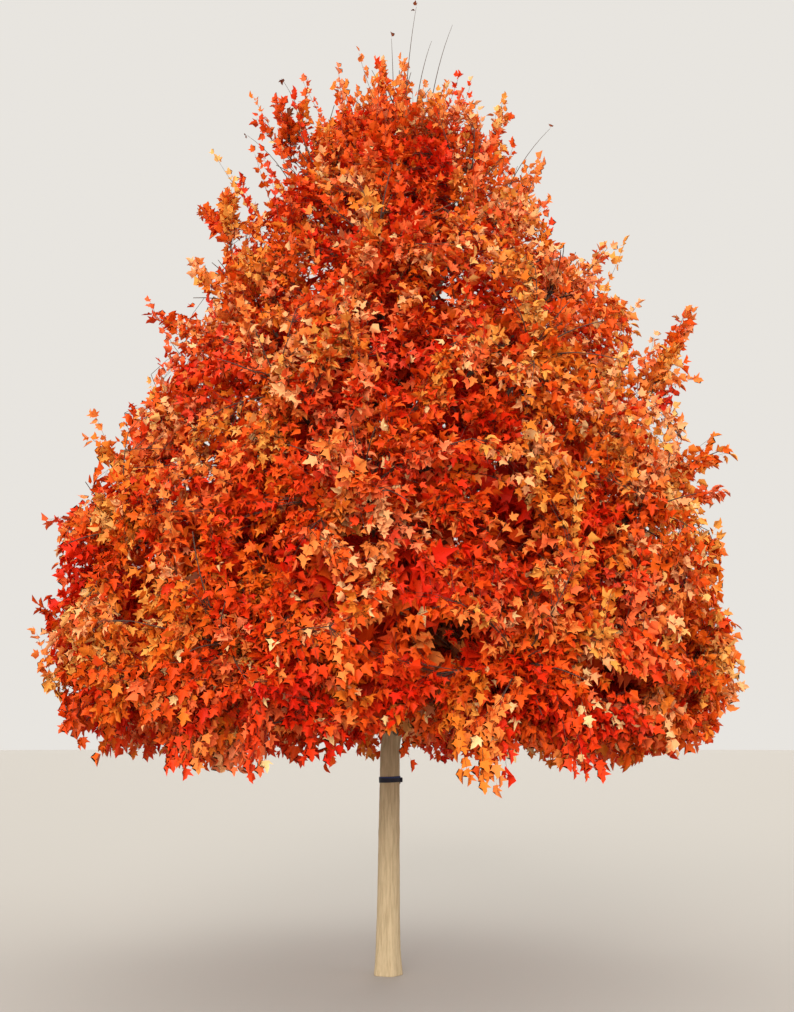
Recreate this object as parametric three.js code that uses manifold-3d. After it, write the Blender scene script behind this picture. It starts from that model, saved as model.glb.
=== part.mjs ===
// A sugar maple in autumn leaf, about 7 m tall, rooted in level ground.
// Millimetres, +Z up. The origin is on the ground at the middle of the trunk.
// -Y is the tree's front and +X its right.
import * as THREE from "three";
import { mergeVertices } from "three/addons/utils/BufferGeometryUtils.js";
import Module from "manifold-3d";

const wasm = await Module();
wasm.setup();

const TREE_SEED = 20611;
const CORE_SEED_STEP = 101; // from one mass's core to the next
const FOLIAGE_SEED_STEP = 977;
const GENERATOR = { multiplier: 48271, modulus: 2147483647 };
const GOLDEN_ANGLE = Math.PI * (3 - Math.sqrt(5));
const CLEARANCE = 0.3; // between solids that meet
const MERGE_TOLERANCE = 1e-3; // vertices closer than this are one

// Trunk: a taper that would end at TAPER_HEIGHT, with a root flare at the ground.
const TRUNK_TIP = 5750;
const TRUNK_RADIUS = 80;
const TAPER_HEIGHT = 6600;
const TAPER_POWER = 0.7;
const FLARE_RADIUS = 16;
const FLARE_HEIGHT = 160;
const FLARE_LOBES = 5;
const FLARE_LOBE_SHARE = 0.35;
const TRUNK_LEAN = 0.01;
const FORK_SHIFT = { x: 75, y: 25 }; // how far the trunk swings aside above its first boughs
const FORK_FROM = 1450;
const FORK_TO = 1950;
const RETURN_TO = 4300;
const RETURN_SHARE = 0.8;
const TRUNK_SIDES = 16;
const TRUNK_RINGS = 18;
const TRUNK_RING_SPACING = 1.3; // over 1, the rings crowd towards the ground

// Tie band round the trunk, with the knot that holds it.
const BAND_HEIGHT = 1280;
const BAND_WIDTH = 52;
const BAND_THICKNESS = 6;
const KNOT_SIZE = [24, 34, 38];

// The crown's half widths: height, reach towards -X, reach towards +X.
const CROWN_ROWS = [
  [1300, 1250, 1400],
  [1600, 2200, 2200],
  [2100, 2440, 2420],
  [2700, 2370, 2360],
  [3300, 2200, 2300],
  [3900, 1920, 2140],
  [4700, 1500, 1780],
  [5300, 1270, 1220],
  [5850, 900, 1040],
  [6350, 660, 580],
  [6650, 200, 200],
];
const LOBE_COUNT = 3;
const LOBE_DEPTH = 0.03;
const LOBE_TURN = 900; // rise in which the lobes turn by one radian

// Masses of leaves: tiers of them round the crown, and one on the trunk's tip.
const TIER_COUNTS = [7, 6, 6, 5, 3];
const FIRST_TIER = 1980;
const TIER_STEP = 985;
const TIER_CLOSING = 28; // each tier is closer to the one under it
const FRONT = -Math.PI / 2;
const MASS_INSET = 510; // from the crown's outline to a mass's middle
const AZIMUTH_JITTER = 0.16;
const HEIGHT_JITTER = 220;
const TOP_DROP = 70; // the top mass sits a little lower than the next tier would
const TOP_INWARD = 300;
const MASS_GAP = 30;
const CORE_LONGEST = 1000;
const CORE_INWARD = 160; // how far a core reaches back towards the trunk
const CORE_ROUNDNESS = 14;
const CORE_ROUGHNESS = 0.1;
const FRINGE = 230; // between a core and the crown's outline
const OUTLINE_STEP = 15;

// Boughs: each leaves the trunk below its mass and rises to it.
const BOUGH_START = 1600;
const BOUGH_START_RISE = 0.78;
const BOUGH_START_STAGGER = 48; // between the levels at which a tier's boughs leave the trunk
const BOUGH_START_SKIP = 3; // levels from one bough to the next round the trunk
const BOUGH_BEND = { out: 0.55, up: 0.3 };
const BOUGH_TIP_RADIUS = 13;
const BOUGH_SLENDERNESS = 0.008; // added radius at the root for each unit of length
const BOUGH_COLLAR = 0.35;
const COLLAR_FADE = 14; // how fast the collar dies away along a bough
const BOUGH_SIDES = 6;
const BOUGH_RINGS = 6;
const BOUGH_SPOTS = 60; // places along a bough where a leaf's distance from it is tested
const LIMB_MARGIN = 12; // kept clear round every limb
const STEM_EXPOSED = 60; // between a bough's tip and the core that its stem runs into
const STEM_SIDES = 5;
const STEM_TAPER = 0.6;

// Twigs and leaves.
const TWIG_DIRECTIONS = 16;
const TWIG_RADIUS = 14;
const TWIG_ROOT_SHARE = 0.75;
const TWIG_IN_LEAF = 45;
const TWIG_SPACING = 260;
const TWIG_LEAF_LEAST = 0.75; // of the longest leaf
const TWIG_LEAF_LEAN = 0.25;
const LEAF_DIRECTIONS = 110; // tried for leaves that stand on the core between the twigs
const LEAF_SPACING = 228;
const LEAF_TRIES = 4;
const OUTWARD_LEAST = -0.2; // the furthest a twig or a leaf points back towards the trunk
const LIFT = [-0.1, 0.75]; // rise added to a direction in the lowest tier and at the top
const LEAF_LEAN = 0.6; // how far a leaf on the core leans over from its direction
const LEAF_OVERREACH = 0.5; // the most that its length adds to the room in front of it
const LEAF_LONGEST = 320;
const LEAF_SHORTEST = 170;
const LEAF_THICKNESS = 10;
const LEAF_SUNK = 0.2;
const LEAF_MIDDLE = 0.42;
// The leaf's outline for a length of 1: root, lobe, notch, tip, notch, lobe.
const LEAF_OUTLINE = [
  [0, 0],
  [0.4, -0.5],
  [0.58, -0.2],
  [1, 0],
  [0.58, 0.2],
  [0.4, 0.5],
];

// Bare shoots that stand out of the top.
const TOP_SHOOTS = [
  [210, -40, 7050],
  [490, 60, 6960],
];
const SHOOT_RADIUS = 7;

const TRUNK_BARK = { color: 0xa08e78, roughness: 0.85 };
const BOUGH_BARK = { color: 0x6f5f50, roughness: 0.85 };
const BAND_WEBBING = { color: 0x20243c, roughness: 0.5 };
const LEAF_COLOURS = [0xc8402a, 0xd95a2b, 0xb92f2a, 0xe0742f, 0xcf4a3a];
const LEAF_ROUGHNESS = 0.7;

// Random numbers from 0 to 1, the same ones for the same seed.
function seeded(seed) {
  let state = seed;
  return () => {
    state = (state * GENERATOR.multiplier) % GENERATOR.modulus;
    return state / GENERATOR.modulus;
  };
}

// Closed geometry to solid, and back.
function solidFrom(geometry) {
  const bare = geometry.clone();
  bare.deleteAttribute("normal");
  bare.deleteAttribute("uv");
  const merged = mergeVertices(bare, MERGE_TOLERANCE);
  return new wasm.Manifold(
    new wasm.Mesh({
      numProp: 3,
      vertProperties: merged.attributes.position.array,
      triVerts: new Uint32Array(merged.index.array),
    }),
  );
}

function geometryFrom(solid) {
  const mesh = solid.getMesh();
  return new THREE.BufferGeometry()
    .setAttribute("position", new THREE.BufferAttribute(mesh.vertProperties, 3))
    .setIndex(new THREE.BufferAttribute(mesh.triVerts, 1));
}

function largestBody(solid) {
  return solid.decompose().reduce((best, body) => (body.volume() > best.volume() ? body : best));
}

// A solid's body as its mesh will hold it, with vertices that lie together merged and loose scraps dropped.
function settled(solid) {
  return largestBody(solidFrom(geometryFrom(largestBody(solid))));
}

// A mesh whose geometry is held about its own place in the tree, to the whole millimetre.
function placedMesh(name, solid, finish, place) {
  const origin = place.clone().round();
  const geometry = geometryFrom(settled(solid)).translate(-origin.x, -origin.y, -origin.z);
  const mesh = new THREE.Mesh(geometry, new THREE.MeshStandardMaterial({ ...finish, metalness: 0 }));
  mesh.name = name;
  mesh.position.copy(origin);
  return mesh;
}

// The trunk's middle line leans, swings aside at the fork and comes most of the way back.
function trunkCentre(height) {
  const { smoothstep } = THREE.MathUtils;
  const swing =
    smoothstep(height, FORK_FROM, FORK_TO) - RETURN_SHARE * smoothstep(height, FORK_TO, RETURN_TO);
  return new THREE.Vector3(TRUNK_LEAN * height + FORK_SHIFT.x * swing, FORK_SHIFT.y * swing, height);
}

function trunkRadius(height, turn = 0) {
  const taper = TRUNK_RADIUS * Math.pow(1 - height / TAPER_HEIGHT, TAPER_POWER);
  const lobes = 1 + FLARE_LOBE_SHARE * Math.sin(FLARE_LOBES * turn);
  return taper + FLARE_RADIUS * Math.exp(-height / FLARE_HEIGHT) * lobes;
}

// A length of the trunk, swollen by extra.
function trunkLength(extra, from, to, rings = 1, spacing = 1) {
  const geometry = new THREE.CylinderGeometry(1, 1, 1, TRUNK_SIDES, rings);
  const position = geometry.attributes.position;
  for (let i = 0; i < position.count; i++) {
    const height = THREE.MathUtils.lerp(from, to, Math.pow(position.getY(i) + 0.5, spacing));
    const turn = Math.atan2(position.getX(i), position.getZ(i));
    const width = Math.hypot(position.getX(i), position.getZ(i)) * (trunkRadius(height, turn) + extra);
    const centre = trunkCentre(height);
    position.setXYZ(i, centre.x + width * Math.sin(turn), centre.y - width * Math.cos(turn), height);
  }
  return solidFrom(geometry);
}

function wholeTrunk(extra) {
  return trunkLength(extra, 0, TRUNK_TIP + extra, TRUNK_RINGS, TRUNK_RING_SPACING);
}

// The band fits round the trunk with a little clearance. Its knot is on the right.
function bandSolid() {
  const half = BAND_WIDTH / 2;
  const ring = trunkLength(BAND_THICKNESS, BAND_HEIGHT - half, BAND_HEIGHT + half);
  const knot = new THREE.BoxGeometry(...KNOT_SIZE);
  const middle = trunkCentre(BAND_HEIGHT);
  knot.translate(middle.x + trunkRadius(BAND_HEIGHT) + BAND_THICKNESS, middle.y, middle.z);
  return ring.add(solidFrom(knot)).subtract(wholeTrunk(CLEARANCE));
}

// How far the crown reaches from the trunk's line at a height.
function crownReach(height, azimuth) {
  const above = CROWN_ROWS.findIndex((row) => row[0] > height);
  if (above <= 0) return 0;
  const [low, high] = [CROWN_ROWS[above - 1], CROWN_ROWS[above]];
  const share = (height - low[0]) / (high[0] - low[0]);
  const left = THREE.MathUtils.lerp(low[1], high[1], share);
  const right = THREE.MathUtils.lerp(low[2], high[2], share);
  const lobes = 1 + LOBE_DEPTH * Math.sin(LOBE_COUNT * azimuth + height / LOBE_TURN);
  return lobes * THREE.MathUtils.lerp(left, right, (1 + Math.cos(azimuth)) / 2);
}

function insideCrown(point) {
  return Math.hypot(point.x, point.y) < crownReach(point.z, Math.atan2(point.y, point.x));
}

function outlineDistance(from, direction) {
  const point = from.clone();
  let distance = 0;
  while (insideCrown(point)) {
    distance += OUTLINE_STEP;
    point.addScaledVector(direction, OUTLINE_STEP);
  }
  return distance;
}

// Masses and the spaces that they keep to.
function tierHeight(tier) {
  return FIRST_TIER + TIER_STEP * tier - TIER_CLOSING * tier * tier;
}

function placeMasses() {
  const random = seeded(TREE_SEED);
  const masses = [];
  TIER_COUNTS.forEach((count, tier) => {
    const step = (2 * Math.PI) / count;
    const shift = tier % 2 ? 0 : 0.5;
    for (let order = 0; order < count; order++) {
      const azimuth = FRONT + step * (order + shift) + AZIMUTH_JITTER * (random() - 0.5);
      const height = tierHeight(tier) + HEIGHT_JITTER * (random() - 0.5);
      const outward = new THREE.Vector3(Math.cos(azimuth), Math.sin(azimuth), 0);
      const centre = outward.clone().multiplyScalar(crownReach(height, azimuth) - MASS_INSET);
      centre.z = height;
      const label = `${tier + 1}_${order + 1}`;
      const stagger = BOUGH_START_STAGGER * ((BOUGH_START_SKIP * order) % count);
      const boughStart = BOUGH_START + BOUGH_START_RISE * (tierHeight(tier) - FIRST_TIER) + stagger;
      masses.push({ label, outward, centre, boughStart, inward: CORE_INWARD });
    }
  });
  const centre = trunkCentre(tierHeight(TIER_COUNTS.length) - TOP_DROP);
  masses.push({ label: "top", outward: new THREE.Vector3(0, 0, 1), centre, inward: TOP_INWARD });
  masses.forEach((mass, index) => {
    mass.index = index;
    mass.walls = masses.filter((other) => other !== mass).map((other) => wallBetween(mass, other));
  });
  return masses;
}

function wallBetween(mass, other) {
  const normal = other.centre.clone().sub(mass.centre);
  const distance = normal.length() / 2 - MASS_GAP / 2;
  return { normal: normal.normalize(), distance };
}

function insideSpace(mass, point) {
  const offset = point.clone().sub(mass.centre);
  return insideCrown(point) && mass.walls.every((wall) => wall.normal.dot(offset) < wall.distance);
}

// How far a mass's core reaches from its middle, rounded off where its limits meet.
function coreRadius(mass, direction) {
  const limits = [CORE_LONGEST, Math.max(outlineDistance(mass.centre, direction) - FRINGE, 1)];
  const inward = -direction.dot(mass.outward);
  if (inward > 0) limits.push(mass.inward / inward);
  for (const wall of mass.walls) {
    const facing = wall.normal.dot(direction);
    if (facing > 0) limits.push(wall.distance / facing);
  }
  const tightness = limits.reduce((sum, limit) => sum + Math.pow(limit, -CORE_ROUNDNESS), 0);
  return Math.pow(tightness, -1 / CORE_ROUNDNESS);
}

function coreSolid(mass) {
  const random = seeded(TREE_SEED + CORE_SEED_STEP * (mass.index + 1));
  const geometry = mergeVertices(bareIcosphere());
  const position = geometry.attributes.position;
  const direction = new THREE.Vector3();
  for (let i = 0; i < position.count; i++) {
    direction.fromBufferAttribute(position, i).normalize();
    const radius = coreRadius(mass, direction) * (1 - CORE_ROUGHNESS * random());
    const point = mass.centre.clone().addScaledVector(direction, radius);
    position.setXYZ(i, point.x, point.y, point.z);
  }
  return solidFrom(geometry);
}

function bareIcosphere() {
  const geometry = new THREE.IcosahedronGeometry(1, 1);
  geometry.deleteAttribute("normal");
  geometry.deleteAttribute("uv");
  return geometry;
}

// A bough leaves the trunk, bends up and ends where it would enter its mass.
function boughCurve(mass) {
  const root = trunkCentre(mass.boughStart);
  const span = mass.centre.clone().sub(root);
  const bend = root.clone();
  bend.x += BOUGH_BEND.out * span.x;
  bend.y += BOUGH_BEND.out * span.y;
  bend.z += BOUGH_BEND.up * span.z;
  const entry = mass.centre.clone().sub(bend).normalize();
  const standoff = coreRadius(mass, entry.clone().negate()) + STEM_EXPOSED;
  const tip = mass.centre.clone().addScaledVector(entry, -standoff);
  return { curve: new THREE.QuadraticBezierCurve3(root, bend, tip), entry, tip };
}

function boughRadius(length, share) {
  const root = BOUGH_SLENDERNESS * length;
  const collar = 1 + BOUGH_COLLAR * Math.exp(-share * COLLAR_FADE);
  return BOUGH_TIP_RADIUS + root * (1 - share) * collar;
}

// A tapering limb along a curve that bends in one upright plane, swollen by extra.
function limbSolid(curve, extra) {
  const length = curve.getLength();
  const geometry = new THREE.CylinderGeometry(1, 1, 1, BOUGH_SIDES, BOUGH_RINGS);
  const position = geometry.attributes.position;
  const span = curve.v2.clone().sub(curve.v0);
  const side = new THREE.Vector3(-span.y, span.x, 0).normalize();
  for (let i = 0; i < position.count; i++) {
    const share = position.getY(i) + 0.5;
    const over = side.clone().cross(curve.getTangent(share));
    const radius = boughRadius(length, share) + extra;
    const point = curve
      .getPoint(share)
      .addScaledVector(side, position.getX(i) * radius)
      .addScaledVector(over, position.getZ(i) * radius);
    position.setXYZ(i, point.x, point.y, point.z);
  }
  return solidFrom(geometry);
}

// Whether a point keeps clear of the trunk and of every bough.
function clearOfLimbs(point, boughs) {
  if (point.z < TRUNK_TIP) {
    const across = point.clone().sub(trunkCentre(point.z));
    if (across.length() < trunkRadius(point.z) + LIMB_MARGIN) return false;
  }
  return boughs.every((bough) => {
    if (!bough.box.containsPoint(point)) return true;
    return bough.spots.every((spot) => spot.distanceTo(point) > spot.radius + LIMB_MARGIN);
  });
}

function boughFor(mass) {
  const { curve, entry, tip } = boughCurve(mass);
  const length = curve.getLength();
  const spots = curve.getPoints(BOUGH_SPOTS);
  spots.forEach((spot, i) => (spot.radius = boughRadius(length, i / BOUGH_SPOTS)));
  const box = new THREE.Box3().setFromPoints(spots).expandByScalar(boughRadius(length, 0) + LIMB_MARGIN);
  return { mass, curve, entry, tip, spots, box };
}

// A straight tapering piece from one point to another.
function spike(from, to, radius, sides, tipRadius = 0) {
  const span = to.clone().sub(from);
  const geometry = tipRadius
    ? new THREE.CylinderGeometry(tipRadius, radius, span.length(), sides)
    : new THREE.ConeGeometry(radius, span.length(), sides);
  geometry.translate(0, span.length() / 2, 0);
  const turn = new THREE.Quaternion().setFromUnitVectors(new THREE.Vector3(0, 1, 0), span.normalize());
  geometry.applyQuaternion(turn).translate(from.x, from.y, from.z);
  return solidFrom(geometry);
}

// A three-lobed leaf: a flattened six-sided bead, pulled out to the outline.
function leafPoints(root, along, face, length) {
  const out = along.clone().normalize();
  const up = face.clone().addScaledVector(out, -face.dot(out)).normalize();
  const across = up.clone().cross(out);
  const frame = new THREE.Matrix4().makeBasis(out, across, up).setPosition(root);
  const sunk = LEAF_SUNK * length;
  return {
    outline: LEAF_OUTLINE.map(([x, y]) =>
      new THREE.Vector3(x * length - sunk, y * length, 0).applyMatrix4(frame),
    ),
    faces: [1, -1].map((sign) =>
      new THREE.Vector3(LEAF_MIDDLE * length - sunk, 0, (sign * LEAF_THICKNESS) / 2).applyMatrix4(frame),
    ),
  };
}

function leafSolid({ outline, faces }) {
  const corners = outline.length;
  const geometry = new THREE.SphereGeometry(1, corners, 2);
  const position = geometry.attributes.position;
  for (let i = 0; i < position.count; i++) {
    const height = position.getY(i);
    const turn = Math.atan2(-position.getZ(i), position.getX(i)) / (2 * Math.PI);
    const corner = (Math.round(turn * corners) + corners) % corners;
    const point = Math.abs(height) > 0.5 ? faces[height > 0 ? 0 : 1] : outline[corner];
    position.setXYZ(i, point.x, point.y, point.z);
  }
  return solidFrom(geometry);
}

// Even directions over a sphere, kept to those that point out of the crown, lifted towards its top.
function outwardDirections(mass, count, random) {
  const turned = 2 * Math.PI * random();
  const lift = THREE.MathUtils.mapLinear(mass.centre.z, FIRST_TIER, tierHeight(TIER_COUNTS.length), ...LIFT);
  const directions = [];
  for (let i = 0; i < count; i++) {
    const height = 1 - (2 * i + 1) / count;
    const turn = turned + i * GOLDEN_ANGLE;
    const width = Math.sqrt(1 - height * height);
    const direction = new THREE.Vector3(width * Math.cos(turn), width * Math.sin(turn), height);
    if (direction.dot(mass.outward) < OUTWARD_LEAST) continue;
    direction.z += lift;
    directions.push(direction.normalize());
  }
  return directions;
}

// How far a mass's space reaches from its middle.
function spaceRadius(mass, direction) {
  let edge = outlineDistance(mass.centre, direction);
  for (const wall of mass.walls) {
    const facing = wall.normal.dot(direction);
    if (facing > 0) edge = Math.min(edge, wall.distance / facing);
  }
  return edge;
}

function acrossFrom(direction, turn) {
  return new THREE.Vector3(0, 0, 1).cross(direction).normalize().applyAxisAngle(direction, turn);
}

// A twig from inside the core, with a leaf on its tip that reaches the edge of the mass's space.
function leafyTwig(mass, direction, free, random) {
  const edge = spaceRadius(mass, direction);
  const length = LEAF_LONGEST * THREE.MathUtils.lerp(TWIG_LEAF_LEAST, 1, random());
  const root = mass.centre.clone().addScaledVector(direction, edge - length * (1 - LEAF_SUNK));
  const lean = acrossFrom(direction, 2 * Math.PI * random());
  const along = direction.clone().addScaledVector(lean, TWIG_LEAF_LEAN);
  const points = leafPoints(root, along, acrossFrom(direction, 2 * Math.PI * random()), length);
  if (!points.outline.slice(1).every(free)) return null;
  const depth = TWIG_ROOT_SHARE * coreRadius(mass, direction);
  const start = mass.centre.clone().addScaledVector(direction, depth);
  const tip = root.clone().addScaledVector(direction, TWIG_IN_LEAF);
  return { root, solids: [spike(start, tip, TWIG_RADIUS, 3), leafSolid(points)] };
}

// A leaf that stands on the core and leans over to whichever side has room.
function coreLeaf(mass, direction, free, random) {
  const surface = coreRadius(mass, direction) * (1 - CORE_ROUGHNESS / 2);
  const root = mass.centre.clone().addScaledVector(direction, surface);
  const room = spaceRadius(mass, direction) - surface;
  const wanted = room * (1 + LEAF_OVERREACH * random());
  const length = THREE.MathUtils.clamp(wanted, LEAF_SHORTEST, LEAF_LONGEST);
  for (let attempt = 0; attempt < LEAF_TRIES; attempt++) {
    const lean = acrossFrom(direction, 2 * Math.PI * random());
    const points = leafPoints(root, direction.clone().addScaledVector(lean, LEAF_LEAN), direction, length);
    if (points.outline.slice(1).every(free)) return { root, solids: [leafSolid(points)] };
  }
  return null;
}

// Twigs and leaves all over a mass, none of them rooted within spacing of another.
function foliageSolids(mass, free, random) {
  const grown = [];
  const grow = (directions, make, spacing) => {
    for (const direction of directions) {
      const piece = make(mass, direction, free, random);
      const crowded = piece && grown.some((other) => other.root.distanceTo(piece.root) < spacing);
      if (piece && !crowded) grown.push(piece);
    }
  };
  grow(outwardDirections(mass, TWIG_DIRECTIONS, random), leafyTwig, TWIG_SPACING);
  grow(outwardDirections(mass, LEAF_DIRECTIONS, random), coreLeaf, LEAF_SPACING);
  return grown.flatMap((piece) => piece.solids);
}

function topShootSolids(mass) {
  return TOP_SHOOTS.map((tip) => spike(mass.centre, new THREE.Vector3(...tip), SHOOT_RADIUS, 3));
}

// The stem carries on from a bough's tip, or the trunk's, to the middle of a mass.
function stemSolid(tip, entry, centre, radius) {
  const from = tip.clone().addScaledVector(entry, CLEARANCE);
  return spike(from, centre, radius, STEM_SIDES, radius * STEM_TAPER);
}

function stemFor(mass, bough) {
  if (bough) return stemSolid(bough.tip, bough.entry, mass.centre, BOUGH_TIP_RADIUS);
  return stemSolid(trunkCentre(TRUNK_TIP), mass.outward, mass.centre, trunkRadius(TRUNK_TIP));
}

// A stem, a core cut clear of the limbs that pass it, twigs and leaves, all one body.
function massSolid(mass, boughs, limbs, stem) {
  const random = seeded(TREE_SEED + FOLIAGE_SEED_STEP * (mass.index + 1));
  const core = coreSolid(mass).subtract(wasm.Manifold.union(limbs));
  const free = (point) => insideSpace(mass, point) && clearOfLimbs(point, boughs);
  const solids = [largestBody(core), stem, ...foliageSolids(mass, free, random)];
  if (mass.label === "top") solids.push(...topShootSolids(mass));
  return wasm.Manifold.union(solids);
}

const masses = placeMasses();
const boughs = masses.filter((mass) => mass.boughStart).map(boughFor);

const wood = new THREE.Group();
wood.add(placedMesh("trunk", wholeTrunk(0), TRUNK_BARK, trunkCentre(0)));
wood.add(placedMesh("tie_band", bandSolid(), BAND_WEBBING, trunkCentre(BAND_HEIGHT)));
const trunkHole = wholeTrunk(CLEARANCE);
for (const bough of boughs) {
  const limb = limbSolid(bough.curve, 0).subtract(trunkHole);
  wood.add(placedMesh(`bough_${bough.mass.label}`, limb, BOUGH_BARK, bough.curve.v0));
}

const crown = new THREE.Group();
const wideTrunk = wholeTrunk(LIMB_MARGIN);
const wideLimbs = boughs.map((bough) => limbSolid(bough.curve, LIMB_MARGIN));
for (const mass of masses) {
  const own = boughs.find((bough) => bough.mass === mass);
  const limbs = [wideTrunk, ...wideLimbs.filter((limb, i) => boughs[i] !== own)];
  const solid = massSolid(mass, boughs, limbs, stemFor(mass, own));
  const finish = { color: LEAF_COLOURS[mass.index % LEAF_COLOURS.length], roughness: LEAF_ROUGHNESS };
  crown.add(placedMesh(`leaf_mass_${mass.label}`, solid, finish, mass.centre));
}

const tree = new THREE.Group();
tree.add(wood, crown);

export default tree;
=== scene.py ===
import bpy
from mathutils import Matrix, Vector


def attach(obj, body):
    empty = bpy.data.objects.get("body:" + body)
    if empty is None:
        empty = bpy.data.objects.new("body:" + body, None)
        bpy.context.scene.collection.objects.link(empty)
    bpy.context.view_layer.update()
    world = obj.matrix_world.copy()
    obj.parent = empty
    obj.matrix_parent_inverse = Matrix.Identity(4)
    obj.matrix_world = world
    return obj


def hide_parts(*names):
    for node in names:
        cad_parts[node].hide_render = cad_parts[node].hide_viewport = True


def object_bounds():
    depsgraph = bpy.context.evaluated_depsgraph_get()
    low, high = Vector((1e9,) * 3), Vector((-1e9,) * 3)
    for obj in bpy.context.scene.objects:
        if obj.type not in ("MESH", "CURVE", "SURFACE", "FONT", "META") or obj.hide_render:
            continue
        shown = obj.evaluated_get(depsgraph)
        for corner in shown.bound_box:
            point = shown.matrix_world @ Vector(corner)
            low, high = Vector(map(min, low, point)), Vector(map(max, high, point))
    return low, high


bl_info = {
    "name": "Sugar maple in autumn leaf",
    "version": (1, 0, 0),
    "blender": (4, 5, 0),
    "location": "3D View > Sidebar > Maple",
    "description": "Dresses a young sugar maple's solids in bark, boughs, twigs and autumn leaves",
    "category": "Add Mesh",
}

import math

import bmesh
import bpy
import numpy as np
from bpy.props import FloatProperty, FloatVectorProperty, IntProperty, PointerProperty
from mathutils import Vector, noise

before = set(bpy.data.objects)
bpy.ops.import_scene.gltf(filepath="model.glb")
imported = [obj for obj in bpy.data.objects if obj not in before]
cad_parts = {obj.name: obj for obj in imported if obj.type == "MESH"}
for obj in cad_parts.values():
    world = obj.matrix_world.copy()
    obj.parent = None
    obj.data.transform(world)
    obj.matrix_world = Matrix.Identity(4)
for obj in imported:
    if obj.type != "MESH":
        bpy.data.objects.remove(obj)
CAD_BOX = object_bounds()

UP = np.array([0.0, 0.0, 1.0])
FULL_TURN = 2 * math.pi
TINY = 1e-6
STEEP = 0.9  # upright share of a direction from which it counts as upright
GOLDEN_ANGLE = math.pi * (3 - math.sqrt(5))

# The tree's plan, in metres, the one that its solids have.
TREE_SEED = 20611
FOLIAGE_SEED_STEP = 977
GENERATOR_MULTIPLIER = 48271
GENERATOR_MODULUS = 2147483647
TRUNK_TIP = 5.75
TAPER_HEIGHT = 6.6
TAPER_POWER = 0.7
FLARE_HEIGHT = 0.16
FLARE_LOBES = 5
FLARE_LOBE_SHARE = 0.35
TRUNK_LEAN = 0.01
FORK_SHIFT = np.array([0.075, 0.025])
FORK_FROM = 1.45
FORK_TO = 1.95
RETURN_TO = 4.3
RETURN_SHARE = 0.8
CROWN_ROWS = [  # height, reach towards -X, reach towards +X
    (1.3, 1.25, 1.4), (1.6, 2.2, 2.2), (2.1, 2.44, 2.42), (2.7, 2.37, 2.36), (3.3, 2.2, 2.3),
    (3.9, 1.92, 2.14), (4.7, 1.5, 1.78), (5.3, 1.27, 1.22), (5.85, 0.9, 1.04), (6.35, 0.66, 0.58),
    (6.65, 0.2, 0.2),
]
LOBE_COUNT = 3
LOBE_DEPTH = 0.03
LOBE_TURN = 0.9
TIER_COUNTS = [7, 6, 6, 5, 3]
FIRST_TIER = 1.98
TIER_STEP = 0.985
TIER_CLOSING = 0.028
FRONT = -math.pi / 2
MASS_INSET = 0.51
AZIMUTH_JITTER = 0.16
HEIGHT_JITTER = 0.22
TOP_DROP = 0.07
TOP_INWARD = 0.3
MASS_GAP = 0.03
CORE_LONGEST = 1.0
CORE_SHORTEST = 0.001
CORE_INWARD = 0.16
CORE_ROUNDNESS = 14
FRINGE = 0.23
OUTLINE_STEP = 0.015
BOUGH_START = 1.6
BOUGH_START_RISE = 0.78
BOUGH_START_STAGGER = 0.048
BOUGH_START_SKIP = 3
BOUGH_BEND_OUT = 0.55
BOUGH_BEND_UP = 0.3
BOUGH_TIP_RADIUS = 0.013
BOUGH_SLENDERNESS = 0.008
BOUGH_COLLAR = 0.35
COLLAR_FADE = 14
STEM_EXPOSED = 0.06
OUTWARD_LEAST = -0.2
LIFT = (-0.1, 0.75)
BAND_HEIGHT = 1.28

# Bark meshes.
TRUNK_SIDES = 72
TRUNK_RINGS = 230
TRUNK_RING_SPACING = 1.3
BOUGH_SIDES = 14
BOUGH_RINGS = 40
STEM_END_RADIUS = 0.006
BARK_GRAIN = Vector((55, 55, 9))  # bark pattern's fineness round and along a limb, for each metre
FINE_GRAIN = 2.7  # finer than the furrows by this
FINE_GRAIN_SHARE = 0.5
TRUNK_STREAKS = (70, 70, 6)  # fineness of the streaks in each direction
BOUGH_STREAKS = (26, 26, 26)
BOUGH_RELIEF = 0.4  # against the trunk's
LENGTH_STEPS = 60  # with which a bough's length is measured
RIDGE_STOPS = [(0.36, 0.0), (0.6, 1.0)]  # how sharply the streaks turn from furrow to ridge
BRANCH_SCARS = [(0.62, 2.6), (0.93, 4.4), (1.12, 5.6), (1.21, 3.4)]  # height, turn round the trunk
SCAR_RADIUS = 0.022
SCAR_RISE = 0.005

# Tie band.
STRAP_WIDTH = 0.026
STRAP_LINE = 0.013  # height of the paler line over the strap's middle
STRAP_THICKNESS = 0.0025
STRAP_TURNS = 2
STRAP_STEPS = 96
STRAP_SECTION = [(0, -0.5), (1, -0.4), (1, 0.4), (0, 0.5)]  # out of the trunk, and up
STRAP_DROP = 0.55  # where its first turn starts, in widths under the band's height
STRAP_RISE = 1.1  # over all its turns, in widths
STRAP_DRIFT = 0.0008  # outwards, over all its turns
KNOT_CUTS = 4
KNOT_SMOOTHINGS = 4
KNOT_SIZE = Vector((0.018, 0.03, 0.034))

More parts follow.
